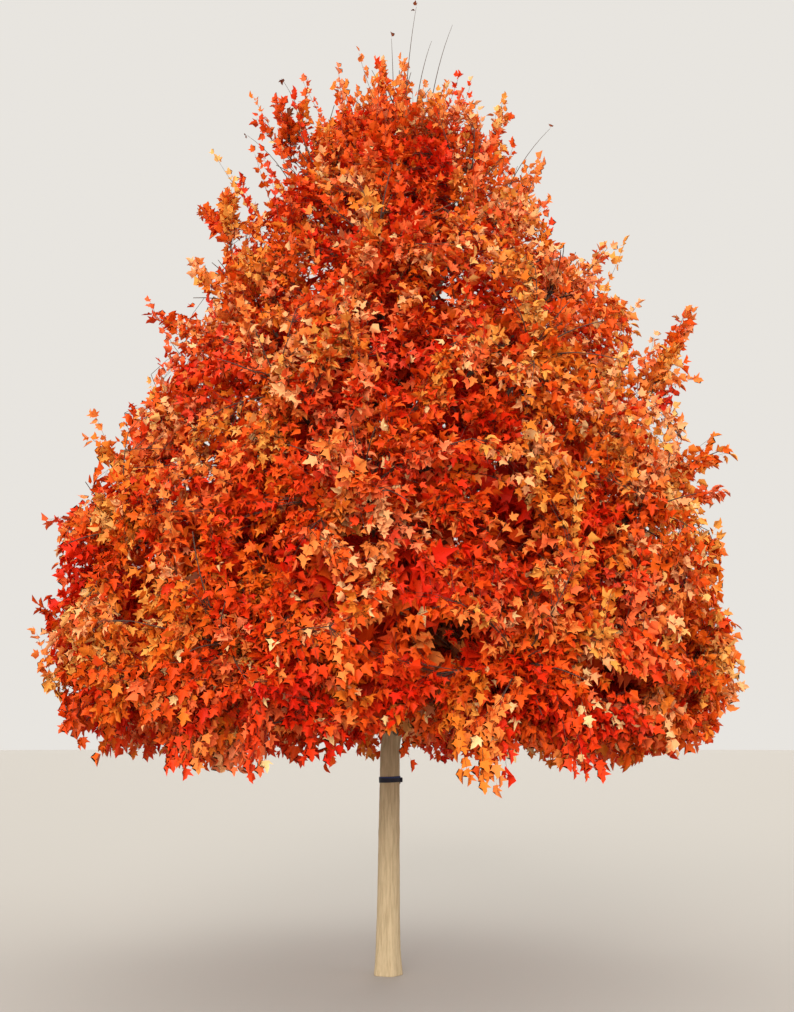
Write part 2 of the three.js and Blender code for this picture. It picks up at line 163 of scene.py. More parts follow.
# Twigs. Main ones are the source's. Side twigs leave them, and shoots leave both.
MAIN_TWIGS = 16
MAIN_REACH = 0.72
MAIN_BASE_SPREAD = 0.36
MAIN_BASE_LIMIT = 0.8  # of the stem's length
MAIN_RUN_ON = 0.3  # how far a main twig follows its stem, against its reach
MAIN_BEND = 0.25
MAIN_RADIUS = (0.0065, 0.0025)
MAIN_POINTS = 8
SIDE_TWIGS = 36
SIDE_RADIUS = (0.0034, 0.0017)
SIDE_POINTS = 6
SIDE_LENGTH = 0.42
SIDE_DEPTH = 0.3  # side twigs end at least this far under the crown's skin
SHOOT_RADIUS = (0.0022, 0.001)
SHOOT_POINTS = 3
SHOOT_LENGTH = 0.24
TWIG_BEND = 0.25  # where a twig bends, as a share of its span
TWIG_RUN_ON = 0.3  # how far it first follows the one that carries it
TWIG_ARCH = 0.05
TWIG_WAVER = 0.012
RISING_WEIGHTS = (0.5, 0.25, 0.25)  # of the start, the foot and the tip in a rising twig's bend
BACKWARD_COST = 0.14
BOUGH_POINTS = 24  # places on a bough that twigs may leave from
STEM_POINTS = 6
SIDES_FROM = 8  # the first of a bough's places with side twigs
SHOOTS_FROM = 14  # and with shoots
SKIN_ROWS = [  # where the leaves end: height, reach towards -X, reach towards +X
    (1.75, 0.45, 0.45), (1.42, 1.25, 1.35), (1.45, 1.88, 1.86), (1.61, 2.26, 2.22), (1.96, 2.4, 2.34),
    (2.3, 2.36, 2.3), (2.8, 2.19, 2.22), (3.3, 2.0, 2.16), (3.7, 1.79, 2.04), (4.1, 1.57, 1.9),
    (4.6, 1.37, 1.67), (4.9, 1.26, 1.4), (5.15, 1.18, 1.18), (5.45, 1.06, 1.08), (5.65, 0.89, 1.03),
    (5.9, 0.76, 0.93), (6.1, 0.66, 0.75), (6.22, 0.46, 0.42), (6.29, 0.15, 0.2),
]
SKIN_FLATNESS = 0.95  # the skin's depth against its width
HOLLOWS = [  # centre and half sizes of gaps between the sprays
    ((-0.03, -1.5, 1.42), (0.16, 1.3, 0.26)), ((2.4, -0.1, 2.97), (0.62, 0.8, 0.2)),
    ((2.5, -0.1, 2.05), (0.38, 0.8, 0.13)), ((1.17, -1.75, 3.4), (0.15, 0.3, 0.18)),
    ((0.3, -1.95, 2.08), (0.28, 0.4, 0.15)), ((-0.33, -1.95, 2.7), (0.2, 0.3, 0.13)),
    ((0.02, 0, 6.1), (0.08, 1.2, 0.08)), ((-0.21, 0, 6.3), (0.09, 0.8, 0.14)),
]
TALL_SPRAYS = [  # tips of the sprays that stand furthest out of the crown
    (-0.66, 0.05, 6.5), (-1.03, 0.1, 6.38), (-1.3, 0, 5.86), (-1.12, 0.1, 5.7), (-0.26, 0.1, 6.34),
    (-0.14, 0.2, 6.4), (0.27, 0.05, 6.45), (0.41, 0, 6.4), (0.62, -0.05, 6.42), (1.75, 0, 5.17),
    (1.85, 0.1, 4.73), (1.95, 0.05, 4.46), (-1.75, 0, 4.71), (-2.12, 0.05, 3.85), (0.2, 0.62, 6.34),
    (-0.3, 0.9, 6.1), (0.75, 0.8, 5.9), (0.1, -0.7, 6.24), (-0.35, -0.65, 6.2), (0.5, -0.65, 6.16),
    (-1.0, 1.3, 5.1), (1.2, 1.35, 5.0),
]
PLUMES = [  # foot, tip and radius of the leafy tufts that make the crown's outline ragged
    ((1.82, 0, 3.86), (2.21, 0, 4.59), 0.15), ((1.9, -0.05, 3.3), (2.41, -0.05, 3.6), 0.15),
    ((1.95, 0.05, 3.1), (2.33, 0.05, 3.31), 0.1), ((1.87, -0.1, 3.95), (2.02, -0.1, 4.3), 0.12),
    ((1.35, 0.05, 4.65), (1.62, 0.05, 5.14), 0.09), ((1.03, 0, 5.29), (1.15, 0, 5.81), 0.07),
    ((1.13, 0.1, 5.19), (1.22, 0.1, 5.59), 0.07), ((0.76, -0.05, 5.79), (0.85, -0.05, 6.23), 0.07),
    ((0.86, 0.05, 5.42), (0.97, 0.05, 5.8), 0.08), ((-0.74, 0, 5.78), (-0.85, 0, 6.34), 0.05),
    ((-0.84, 0.05, 5.67), (-0.99, 0.05, 6.17), 0.05), ((-0.57, 0, 5.94), (-0.62, 0, 6.4), 0.055),
    ((-0.37, 0.05, 6.09), (-0.39, 0.05, 6.45), 0.05), ((-0.73, -0.1, 5.9), (-0.74, -0.1, 6.11), 0.06),
    ((-0.03, 0, 6.2), (-0.07, 0, 6.6), 0.05), ((0.13, 0.05, 6.2), (0.12, 0.05, 6.6), 0.06),
    ((-0.99, 0, 5.19), (-1.21, 0, 5.59), 0.08), ((-1.03, 0.05, 5.14), (-1.37, 0.05, 5.41), 0.06),
    ((-1.12, -0.1, 4.99), (-1.18, -0.1, 5.43), 0.1), ((-1.2, 0, 4.73), (-1.45, 0, 5.02), 0.05),
    ((-1.48, 0, 4.39), (-1.67, 0, 4.59), 0.06), ((-1.92, 0, 3.49), (-2.13, 0, 3.68), 0.05),
    ((-2.22, 0, 2.91), (-2.39, 0, 3.09), 0.05),
]
PLUME_SETS = [(1.5, 0.9, 0.1), (-1.7, 0.88, 0.4)]  # the tufts again: turn, share of reach, drop
PLUME_SHOOTS = 150  # to each metre of a tuft's radius
PLUME_LEAF = 1.15
PLUME_START = 0.3  # where along its stem a tuft begins
PLUME_TAPER = 1.15  # a tuft's width at its foot, against its radius, before it narrows
PLUME_TIP_STEP = 0.05  # how far its shoots run on past its stem
PLUME_SHOOT_SPAN = 0.3  # how far back along the stem a shoot starts
PLUME_SWIRL = 0.08
PLUME_DEPTH = 0.04  # under the crown's skin, for its leaves' tints and their painted sunlight
PLUME_TOP = 6.0  # tufts higher than this aren't turned, as they would crowd the top
HANGING_SPRAYS = [  # tips of the sprays that hang lowest under the crown
    (-1.18, -1.8, 1.45), (-1.1, -1.84, 1.43), (-1.03, -1.82, 1.46), (-1.12, -1.72, 1.46),
    (-0.8, -1.95, 1.43), (-0.72, -1.98, 1.41), (-0.66, -1.92, 1.44), (-0.74, -1.86, 1.45),
    (-0.42, -2.0, 1.49), (-0.3, -2.0, 1.5), (0.44, -2.0, 1.4), (0.52, -2.04, 1.36), (0.6, -2.0, 1.35),
    (0.66, -1.94, 1.39), (0.54, -1.9, 1.4), (1.02, -1.88, 1.42), (1.1, -1.86, 1.4), (1.18, -1.8, 1.42),
    (1.1, -1.76, 1.44), (-1.65, -1.4, 1.5), (1.7, -1.3, 1.52), (-2.0, -0.5, 1.55), (2.0, -0.4, 1.56),
    (0.4, 1.86, 1.42), (0.5, 1.8, 1.44), (0.45, 1.75, 1.45), (-0.9, 1.76, 1.45), (-0.98, 1.7, 1.46),
    (1.6, 1.25, 1.48), (-1.8, 1.0, 1.5), (-1.7, 1.1, 1.48),
]
TALL_SPRAY_LENGTH = 0.36
TALL_SPRAY_LEAN = 0.1
TALL_SPRAY_PAIRS = (0.18, 0.34, 0.5, 0.65, 0.79, 0.91)
CLUMP_FINENESS = (1.9, 4.3)  # of large clumps, and of small ones within them
CLUMP_START = 0.42
CLUMP_WEIGHTS = (1.0, 0.8)
CLUMP_DEPTH = 0.34
SKIN_DEPTH = 0.1
DEEPEST = 0.8
DEEPEST_SHARE = 0.5  # of the way from the skin to the trunk
INNER_DEPTH = (0.5, 1.25)
INNER_SHARE = 0.85  # of the way from the skin to the trunk, at most
INNER_LEAF = 2.0
STRAY_FLOOR = 2.2
STRAY_BEYOND = (0.04, 0.26)
STRAY_RISE = 2
LEAF_ALLOWANCE = 0.12  # how far leaves may stand out of the solids' box

# Leaves.
PAIR_SHARES = (0.34, 0.6, 0.85)
PAIR_JITTER = 0.03
PAIR_TURN = 0.3
PAIR_FORWARD = 0.5
LEAF_SIZES = (0.68, 1.14)
TOP_RISE = 0.35  # how far the highest leaves stand up
BLADE_WEIGHTS = (0.7, 0.3, 0.33)  # stalk's way, way out of the crown and chance, in a blade's way
FACE_WEIGHTS = (0.5, 0.33, 0.56)  # way out of the crown, up and chance, in the way that it faces
INNER_TURNING = 0.35  # chance in the way that a plainer leaf faces
SHRINK_POWER = 1.5  # how late up the crown leaves turn smaller
LEAF_DEAL = (7, 3)  # sets the order in which the leaf shapes follow each other
LEAF_LOBES = [(0.02, 0.36), (0.18, 0.25), (0.47, 0.56), (0.46, 0.18), (0.72, 0.19)]
LEAF_KEEL = 0.33
PETIOLE_START = (-0.36, -0.2)
PETIOLE_HALF_WIDTH = 0.02
LEAF_SHAPES = [(0.3, 0.2), (0.6, 0.5), (0.95, 0.2), (0.4, 1.1)]  # fold and curl
PLAIN_LOBES = LEAF_LOBES[:4]
PLAIN_DEPTH = 0.22  # under the skin, leaves from here on have no stalk and a plainer tip
SPRAY_LIFT = 0.6
CROWN_MIDDLE = 3.3
NORMAL_WEIGHTS = (1.35, 0.9)  # sideways and upright, in the way out of the crown
OVERLAP = 0.08  # how far neighbouring masses share their shoots
MASSES_PER_PIECE = 2

# Autumn tints: name, colour, warmth and lightness of the sprays that take it.
TINTS = [
    ("umber", "7a3a1c", 0.8, -0.4), ("ruby", "dc2206", 0.2, 0), ("brick", "dc340a", 0.5, 0.02),
    ("copper", "ce4a0a", 0.9, 0), ("crimson", "e22c0a", 0.28, 0.25), ("rust", "e0460c", 0.62, 0.25),
    ("sienna", "e25e12", 0.95, 0.25), ("scarlet", "e84012", 0.32, 0.5),
    ("vermilion", "ea5816", 0.6, 0.5), ("ochre", "ea7c24", 0.95, 0.5), ("rose", "f04c2e", 0.1, 0.75),
    ("coral", "f26c38", 0.4, 0.78), ("flame", "f4883e", 0.7, 0.75), ("amber", "f0a046", 1.05, 0.75),
    ("salmon", "f98c5a", 0.35, 1.02), ("apricot", "fcb074", 0.68, 1.02), ("gold", "f8ba6a", 1.05, 1.05),
    # The palest tint is a painted glint of sunlight, dealt mostly to single outer leaves.
    ("cream", "fad090", 0.9, 1.75),
]
TINT_SPREAD = 0.16
LIGHTNESS_WEIGHT = 0.6  # against warmth's, when a tint is dealt out
# Warmth and lightness: at the start, added for the outermost leaves, taken from the lowest, and
# waves over the crown with their weight, fineness and shift. Outer leaves turn paler and more
# orange, partly their own colour and partly painted sunlight; deeper leaves stay deeper red,
# partly painted shade. The lowest turn darker and redder as painted shade under the crown.
WARMTH = (0.38, 0.36, 0.17, [(0.28, 1.1, (0, 0, 0)), (0.66, 3.7, (0, 0, 0))])
LIGHTNESS = (0, 0.7, 0.24, [(0.3, 1.6, (0, 0, 0)), (0.7, 2.9, (9, 4, 2))])
LOW_SHADE_HEIGHT = 2.1  # under this height leaves turn redder and darker, painted shade under the crown
LOW_SHADE_RANGE = 0.6
# Patches of the crown that turn warmer or redder: place, radius, added warmth, added lightness.
# A negative added lightness darkens a patch as painted shade in the crown's hollows.
TINT_PATCHES = [
    ((-1.35, -1.2, 2.9), 0.85, 0.14, 0), ((-2.0, -0.6, 2.4), 0.6, -0.3, -0.4),
    ((2.0, -0.6, 2.6), 0.9, 0.2, 0.1), ((2.0, -0.4, 3.7), 0.8, 0.16, 0.25),
    ((-0.28, -2.1, 2.7), 0.42, 0.1, -0.32), ((0.1, -2.1, 2.9), 0.8, -0.14, 0),
    ((0.45, -2.1, 2.45), 0.45, -0.25, 0.15), ((-1.0, -2.0, 2.1), 0.45, -0.25, 0.1),
    ((0.1, -1.6, 4.3), 0.8, -0.12, 0), ((0.9, -1.3, 4.6), 0.6, 0.12, 0.1),
    ((-0.15, -0.7, 5.45), 0.6, -0.25, -0.15), ((-0.9, -0.1, 6.0), 0.4, 0.1, -0.7),
    ((0.25, 0, 6.3), 0.45, 0.15, 0.1),
]

# Bare shoots above the crown: foot, tip, leaves at the tip.
BARE_SHOOTS = [
    ((0.12, 0, 6.2), (0.21, -0.04, 7.05), 2), ((0.3, 0.02, 6.15), (0.49, 0.06, 6.96), 0),
    ((0.2, 0.02, 6.2), (0.33, 0.1, 6.85), 0), ((0.04, 0.05, 6.2), (0.02, 0.12, 6.88), 1),
    ((0.82, -0.1, 5.4), (1.2, -0.12, 6.02), 1), ((0.85, 0, 5.35), (1.16, 0.1, 5.86), 0),
    ((-0.7, 0.1, 5.6), (-1.08, 0.16, 6.1), 1), ((-0.55, -0.1, 5.8), (-0.8, -0.12, 6.42), 1),
]
BARE_SHOOT_RADIUS = (0.0042, 0.0012)
BARE_SHOOT_BEND = (0.35, 0.35, 0.6)
BARE_SHOOT_POINTS = 9
LONE_LEAF_STEP = 0.04  # from leaf to leaf along a bare shoot, as a share of it
LONE_LEAF_SIZE = 0.8
LONE_LEAF_TINT = 0  # umber
PAINTED_GLINT_TINT = 17  # the palest tint, a painted glint of sunlight
PAINTED_GLINT_SHARE = 0.022  # of the outermost leaves, each a painted glint of sunlight
LEAF_SLOTS = ["leaf_crimson", "leaf_scarlet", "leaf_orange"]

# Stage.
FLOOR_RADIUS = 120
LIGHTS = [  # name, the side that it comes from, colour
    ("key", (-13, -19, 9), (1, 0.93, 0.83)),
    ("front", (-2, -24, 8.5), (1, 0.96, 0.9)),
    ("fill", (20, -8, 7), (1, 0.97, 0.93)),
    ("back", (3, 24, 11), (1, 0.97, 0.93)),
]


def linear(code):
    """The linear colour of six hexadecimal digits."""
    shares = [int(code[i : i + 2], 16) / 255 for i in (0, 2, 4)]
    return tuple(s / 12.92 if s <= 0.04045 else ((s + 0.055) / 1.055) ** 2.4 for s in shares)


# Settings.


def settings_of(kind, **fixed):
    """A maker of settings of one kind, from their name, description and default."""
    return lambda name, description, default: kind(
        name=name, description=description, default=default, **fixed
    )


a_length = settings_of(FloatProperty, unit="LENGTH")
an_angle = settings_of(FloatProperty, subtype="ANGLE")
a_share = settings_of(FloatProperty, subtype="FACTOR")
an_amount = settings_of(FloatProperty, min=0)
a_number = settings_of(IntProperty, min=1)
a_colour = settings_of(FloatVectorProperty, subtype="COLOR")


class MapleWood(bpy.types.PropertyGroup):
    trunk_radius: a_length("Trunk radius", "Radius that the trunk's taper starts from", 0.08)
    flare_radius: a_length("Root flare", "Added radius at the ground", 0.016)
    relief: a_length("Bark relief", "Depth of the trunk's furrows", 0.0022)
    bark_light: a_colour("Bark ridges", "Colour of the trunk's ridges", linear("c9b491"))
    bark_dark: a_colour("Bark furrows", "Colour of the trunk's furrows", linear("a99574"))
    bough_light: a_colour("Bough ridges", "Colour of the boughs' ridges", linear("7c6b58"))
    bough_dark: a_colour("Bough furrows", "Colour of the boughs' furrows", linear("483a2d"))
    twig_colour: a_colour("Twigs", "Colour of the twigs and shoots", linear("4c362a"))
    band_colour: a_colour("Tie band", "Colour of the strap", linear("14161f"))
    band_line: a_colour("Band line", "Colour of the strap's upper edge", linear("2f4076"))


class MapleFoliage(bpy.types.PropertyGroup):
    shoots: a_number("Shoots", "Leafy shoots spread over the crown's skin", 11600)
    inner_shoots: a_number("Inner shoots", "Leafy shoots deeper in the crown", 2600)
    strays: a_number("Strays", "Shoots that stand out of the crown", 110)
    leaf_length: a_length("Leaf length", "Length of a leaf low in the crown", 0.072)
    top_leaf_length: a_length("Top leaf length", "Length of a leaf at the top", 0.052)
    droop: an_amount("Droop", "How far the lowest leaves hang down", 0.75)
    roughness: a_share("Leaf roughness", "Roughness of a leaf's face", 0.5)


class MapleTints(bpy.types.PropertyGroup):
    __annotations__ = {
        name: a_colour(name.capitalize(), f"The {name} leaves", linear(code))
        for name, code, *_ in TINTS
    }


class MapleStage(bpy.types.PropertyGroup):
    camera_distance: a_length("Camera distance", "From the trunk, along the ground", 9.14)
    camera_height: a_length("Camera height", "Eye height over the ground", 1.6)
    camera_aside: a_length("Camera aside", "How far right of the trunk", 0.063)
    camera_pitch: an_angle("Camera pitch", "How far the camera looks up", math.radians(9.9))
    lens: an_amount("Lens", "Focal length in millimetres", 46.2)
    key: an_amount("Key light", "Strength of the light from the front left", 0.42)
    front: an_amount("Front light", "Strength of the light from behind the camera", 1.66)
    fill: an_amount("Fill light", "Strength of the light from the right", 0.28)
    back: an_amount("Back light", "Strength of the light from behind the tree", 0.4)
    softness: an_angle("Softness", "How wide each light looks from the tree", math.radians(28))
    floor_colour: a_colour("Floor", "Colour of the floor", linear("b2aea8"))
    sky_colour: a_colour("Backdrop", "Colour of the surroundings", linear("d6d3ce"))
    sky_strength: an_amount("Backdrop strength", "Brightness of the surroundings", 1.2)
    sky_light: an_amount("Sky light", "Strength of the light that the surroundings give", 1.78)


# Shader building.


class Wire:
    """A node's output. Arithmetic on it adds Math nodes."""

    def __init__(self, finish, output):
        self.finish = finish
        self.output = output

    def math(self, operation, first, second):
        return self.finish.node("ShaderNodeMath", {"operation": operation}, {0: first, 1: second})

    def __add__(self, other):
        return self.math("ADD", self, other)

    def __mul__(self, other):
        return self.math("MULTIPLY", self, other)

    def __rsub__(self, other):
        return self.math("SUBTRACT", other, self)

    __radd__ = __add__
    __rmul__ = __mul__


class Finish:
    """A node material in the making."""

    def __init__(self, name):
        self.material = bpy.data.materials.new(name)
        self.material.use_nodes = True
        self.tree = self.material.node_tree
        self.tree.nodes.clear()
        self.place = self.node("ShaderNodeTexCoord", output="Object")

    def node(self, kind, settings=None, sockets=None, output=0):
        """Adds a node, with its settings first and then its sockets' values or links."""
        made = self.tree.nodes.new(kind)
        for key, value in (settings or {}).items():
            if key == "stops":
                self.set_stops(made.color_ramp, value)
            else:
                setattr(made, key, value)
        for key, value in (sockets or {}).items():
            if isinstance(value, Wire):
                self.tree.links.new(value.output, made.inputs[key])
            else:
                made.inputs[key].default_value = value
        return None if output is None else Wire(self, made.outputs[output])

    @staticmethod
    def set_stops(ramp, stops):
        """A ramp from value to value, each stop a place and a grey."""
        for element, (place, grey) in zip(ramp.elements, stops):
            element.position = place
            element.color = (grey, grey, grey, 1)

    def mix(self, share, first, second):
        """A colour between two."""
        sockets = {"Factor": share, 6: opaque(first), 7: opaque(second)}
        return self.node("ShaderNodeMix", {"data_type": "RGBA"}, sockets, output=2)

    def grain(self, scale, detail, **sockets):
        """Soft noise, in the object's own space unless another vector is given."""
        sockets = {"Vector": self.place, "Scale": scale, "Detail": detail, **sockets}
        return self.node("ShaderNodeTexNoise", sockets=sockets)

    def surface(self, colour, height, roughness, strength, distance, **sockets):
        """Ends the material in a Principled surface, with the height as its relief."""
        relief = {"Strength": strength, "Distance": distance, "Height": height}
        bump = self.node("ShaderNodeBump", sockets=relief)
        base = colour if isinstance(colour, Wire) else opaque(colour)
        sockets = {"Base Color": base, "Roughness": roughness, "Normal": bump, **sockets}
        shader = self.node("ShaderNodeBsdfPrincipled", sockets=sockets)
        self.node("ShaderNodeOutputMaterial", sockets={"Surface": shader}, output=None)
        return self.material


def opaque(colour):
    return (*colour, 1)


def bark_finish(name, light, dark, stretch):
    """Bark with streaks, furrows and mottles, its streaks finer across than along by the stretch."""
    finish = Finish(name)
    along = finish.node("ShaderNodeMapping", sockets={"Vector": finish.place, "Scale": stretch})
    streaks = finish.grain(scale=1, detail=6, Vector=along, Roughness=0.62)
    mottle, fine = finish.grain(scale=7, detail=3), finish.grain(scale=190, detail=2)
    ridge = finish.node("ShaderNodeValToRGB", {"stops": RIDGE_STOPS}, {"Fac": streaks})
    colour = finish.mix(ridge * 0.75 + mottle * 0.3, dark, light)
    height, roughness = ridge * 0.7 + fine * 0.3, 0.95 - ridge * 0.15
    shine = {"Specular IOR Level": 0.3}
    return finish.surface(colour, height, roughness, strength=0.5, distance=0.004, **shine)


def webbing_finish(name, colour, line_colour):
    """A woven strap, with its ribs across and a paler line along its top."""
    finish = Finish(name)
    weave = {"Vector": finish.place, "Scale": 130.0, "Distortion": 1.5, "Detail": 1.0}
    ribs = finish.node("ShaderNodeTexWave", {"bands_direction": "Z"}, weave, output="Fac")
    height = finish.node("ShaderNodeSeparateXYZ", sockets={"Vector": finish.place}, output="Z")
    line = height.math("GREATER_THAN", height, BAND_HEIGHT + STRAP_LINE)
    shade = finish.mix(line * 0.8 + ribs * 0.15, colour, line_colour)
    return finish.surface(shade, ribs, roughness=0.6, strength=0.6, distance=0.001)


def twig_finish(name, colour):
    """Smooth young bark."""
    finish = Finish(name)
    lines = finish.grain(scale=90, detail=2)
    return finish.surface(colour, lines, roughness=0.7, strength=0.3, distance=0.001)


def leaf_finish(name, colour, roughness):
    """One tint of leaf, with faint ribs in its relief."""
    finish = Finish(name)
    ribs = finish.grain(scale=70, detail=1)
    shine = {"Specular IOR Level": 0.12}
    return finish.surface(colour, ribs, roughness, strength=0.35, distance=0.004, **shine)


# The source's rule for trunk, crown and masses.


def seeded(seed):
    """Random numbers from 0 to 1, the source's own."""
    state = seed

    def draw():
        nonlocal state
        state = state * GENERATOR_MULTIPLIER % GENERATOR_MODULUS
        return state / GENERATOR_MODULUS

    return draw


def smoothstep(value, low, high):
    share = np.clip((value - low) / (high - low), 0, 1)
    return share * share * (3 - 2 * share)


def unit(vectors):
    return vectors / np.maximum(np.linalg.norm(vectors, axis=-1, keepdims=True), 1e-9)


def trunk_centre(height):
    swing = smoothstep(height, FORK_FROM, FORK_TO)
    swing = swing - RETURN_SHARE * smoothstep(height, FORK_TO, RETURN_TO)
    return np.array([TRUNK_LEAN * height + FORK_SHIFT[0] * swing, FORK_SHIFT[1] * swing, height])


def trunk_radius(wood, height, turn=0.0):
    taper = wood.trunk_radius * (1 - height / TAPER_HEIGHT) ** TAPER_POWER
    lobes = 1 + FLARE_LOBE_SHARE * math.sin(FLARE_LOBES * turn)
    return taper + wood.flare_radius * math.exp(-height / FLARE_HEIGHT) * lobes


def lobed_reach(height, azimuth, left, right):
    """A reach between those to the left and right, with the crown's slow lobes on it."""
    lobes = 1 + LOBE_DEPTH * np.sin(LOBE_COUNT * azimuth + height / LOBE_TURN)
    return lobes * (left + (right - left) * (1 + np.cos(azimuth)) / 2)


def crown_reach(height, azimuth):
    heights, *sides = zip(*CROWN_ROWS)
    left, right = (np.interp(height, heights, side, left=0, right=0) for side in sides)
    return lobed_reach(height, azimuth, left, right)


def inside_crown(points):
    reach = crown_reach(points[..., 2], np.arctan2(points[..., 1], points[..., 0]))
    return np.hypot(points[..., 0], points[..., 1]) < reach


def outline_distance(start, directions):
    """How far each direction runs from a point before it leaves the crown."""
    distance = np.zeros(len(directions))
    inside = np.ones(len(directions), bool)
    while inside.any():
        inside &= inside_crown(start + directions * distance[:, None])
        distance[inside] += OUTLINE_STEP
    return distance


def tier_height(tier):
    return FIRST_TIER + TIER_STEP * tier - TIER_CLOSING * tier * tier


class Mass:
    """A mass of leaves: its middle, and the walls between it and its neighbours."""

    def __init__(self, label, outward, centre, bough_start=None, inward=CORE_INWARD):
        self.label = label
        self.outward = outward
        self.centre = centre
        self.bough_start = bough_start
        self.inward = inward

    def set_walls(self, others):
        spans = np.array([other.centre - self.centre for other in others])
        self.wall_normals = unit(spans)
        self.wall_distances = np.linalg.norm(spans, axis=1) / 2 - MASS_GAP / 2

    def wall_limits(self, directions):
        facing = directions @ self.wall_normals.T
        return np.where(facing > TINY, self.wall_distances / np.maximum(facing, TINY), np.inf)

    def space(self, directions):
        """How far the mass's space reaches from its middle."""
        outline = outline_distance(self.centre, directions)
        return np.minimum(outline, self.wall_limits(directions).min(1))

    def core(self, direction):
        """How far the mass's solid core reaches, rounded off where its limits meet."""
        directions = direction[None]
        outline = outline_distance(self.centre, directions)[0] - FRINGE
        limits = [CORE_LONGEST, max(outline, CORE_SHORTEST), *self.wall_limits(directions)[0]]
        facing_in = -direction @ self.outward
        if facing_in > 0:
            limits.append(self.inward / facing_in)
        tightness = sum(limit**-CORE_ROUNDNESS for limit in limits)
        return tightness ** (-1 / CORE_ROUNDNESS)


def place_masses():
    """The masses of each tier, and the one on the trunk's tip."""
    random = seeded(TREE_SEED)
    tiers = []
    for tier, count in enumerate(TIER_COUNTS):
        row = []
        for order in range(count):
            shift = 0 if tier % 2 else 0.5
            azimuth = FRONT + FULL_TURN / count * (order + shift) + AZIMUTH_JITTER * (random() - 0.5)
            height = tier_height(tier) + HEIGHT_JITTER * (random() - 0.5)
            outward = np.array([math.cos(azimuth), math.sin(azimuth), 0])
            centre = outward * (crown_reach(height, azimuth) - MASS_INSET) + UP * height
            stagger = BOUGH_START_STAGGER * (BOUGH_START_SKIP * order % count)
            start = BOUGH_START + BOUGH_START_RISE * (tier_height(tier) - FIRST_TIER) + stagger
            row.append(Mass(f"{tier + 1}_{order + 1}", outward, centre, start))
        tiers.append(row)
    top = trunk_centre(tier_height(len(TIER_COUNTS)) - TOP_DROP)
    tiers.append([Mass("top", UP, top, inward=TOP_INWARD)])
    masses = [mass for row in tiers for mass in row]
    for index, mass in enumerate(masses):
        mass.index = index
        mass.set_walls([other for other in masses if other is not mass])
    return tiers


def limb_line(mass):
    """A bough's root, bend and tip, then the end of the stem that carries on into its mass."""
    if mass.bough_start is None:
        tip = trunk_centre(TRUNK_TIP)
        return tip, tip, tip, mass.centre
    root = trunk_centre(mass.bough_start)
    span = mass.centre - root
    bend = root + span * [BOUGH_BEND_OUT, BOUGH_BEND_OUT, BOUGH_BEND_UP]
    entry = unit(mass.centre - bend)
    tip = mass.centre - entry * (mass.core(-entry) + STEM_EXPOSED)
    return root, bend, tip, mass.centre


def curve_points(start, bend, end, shares):
    """Points along curves with one bend. Each argument may hold many curves."""
    shares = shares[..., None]
    return (1 - shares) ** 2 * start + 2 * shares * (1 - shares) * bend + shares**2 * end


def outward_directions(mass, count, turned):
    """Even directions that point out of the crown, lifted more towards its top."""
    order = np.arange(count)
    height = 1 - (2 * order + 1) / count
    turn = turned + order * GOLDEN_ANGLE
    width = np.sqrt(1 - height**2)
    directions = np.stack([width * np.cos(turn), width * np.sin(turn), height], 1)
    directions = directions[directions @ mass.outward >= OUTWARD_LEAST]
    lift = np.interp(mass.centre[2], (FIRST_TIER, tier_height(len(TIER_COUNTS))), LIFT)
    return unit(directions + UP * lift)


# Meshes.


def add_object(name, data):
    made = bpy.data.objects.new(name, data)
    bpy.context.scene.collection.objects.link(made)
    return made


def finished_piece(name, mesh, materials, slot, *nodes):
    """A piece at the origin that stands for CAD nodes and takes the finishes given; its slot is not
    used.
    """
    piece = add_object(name, mesh)
    for material in materials:
        mesh.materials.append(material)
    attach(piece, "root")
    if nodes:
        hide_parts(*nodes)
    return piece


def triangle_mesh(name, vertices, faces, tints=None):
    """A mesh of triangles from arrays."""
    mesh = bpy.data.meshes.new(name)
    mesh.vertices.add(len(vertices))
    mesh.vertices.foreach_set("co", np.asarray(vertices, np.float32).ravel())
    mesh.loops.add(3 * len(faces))
    mesh.loops.foreach_set("vertex_index", np.asarray(faces, np.int32).ravel())
    mesh.polygons.add(len(faces))
    mesh.polygons.foreach_set("loop_start", np.arange(0, 3 * len(faces), 3, dtype=np.int32))
    if tints is not None:
        mesh.polygons.foreach_set("material_index", np.asarray(tints, np.int32))
    mesh.update(calc_edges=True)
    return mesh


def mesh_from(name, shape, smooth=True):
    """A mesh from a bmesh, with its faces turned out."""
    bmesh.ops.recalc_face_normals(shape, faces=shape.faces)
    for face in shape.faces:
        face.smooth = smooth
    mesh = bpy.data.meshes.new(name)
    shape.to_mesh(mesh)
    shape.free()
    return mesh


def limb_shape(sides, rings, place):
    """A closed limb: place gives each vertex from its share of the length and its turn."""
    shape = bmesh.new()
    bmesh.ops.create_cone(shape, cap_ends=True, segments=sides, radius1=1, radius2=1, depth=1)
    uprights = [e for e in shape.edges if abs(e.verts[0].co.z - e.verts[1].co.z) > 0.5]
    bmesh.ops.subdivide_edges(shape, edges=uprights, cuts=rings - 1)
    for vertex in shape.verts:
        turn = math.atan2(vertex.co.y, vertex.co.x)
        vertex.co = place(vertex.co.z + 0.5, turn)
    return shape


def bark_relief(point, depth):
    """How far bark stands out at a point: long upright furrows over a finer grain."""
    along = Vector(point) * BARK_GRAIN
    return depth * (noise.noise(along) + FINE_GRAIN_SHARE * noise.noise(along * FINE_GRAIN))


def scar_rise(height, turn, radius):
    """The swelling of old branch scars on the trunk."""
    rise = 0.0
    for scar_height, scar_turn in BRANCH_SCARS:
        around = math.remainder(turn - scar_turn, FULL_TURN) * radius
        rise += SCAR_RISE * math.exp(-(around**2 + (height - scar_height) ** 2) / SCAR_RADIUS**2)
    return rise


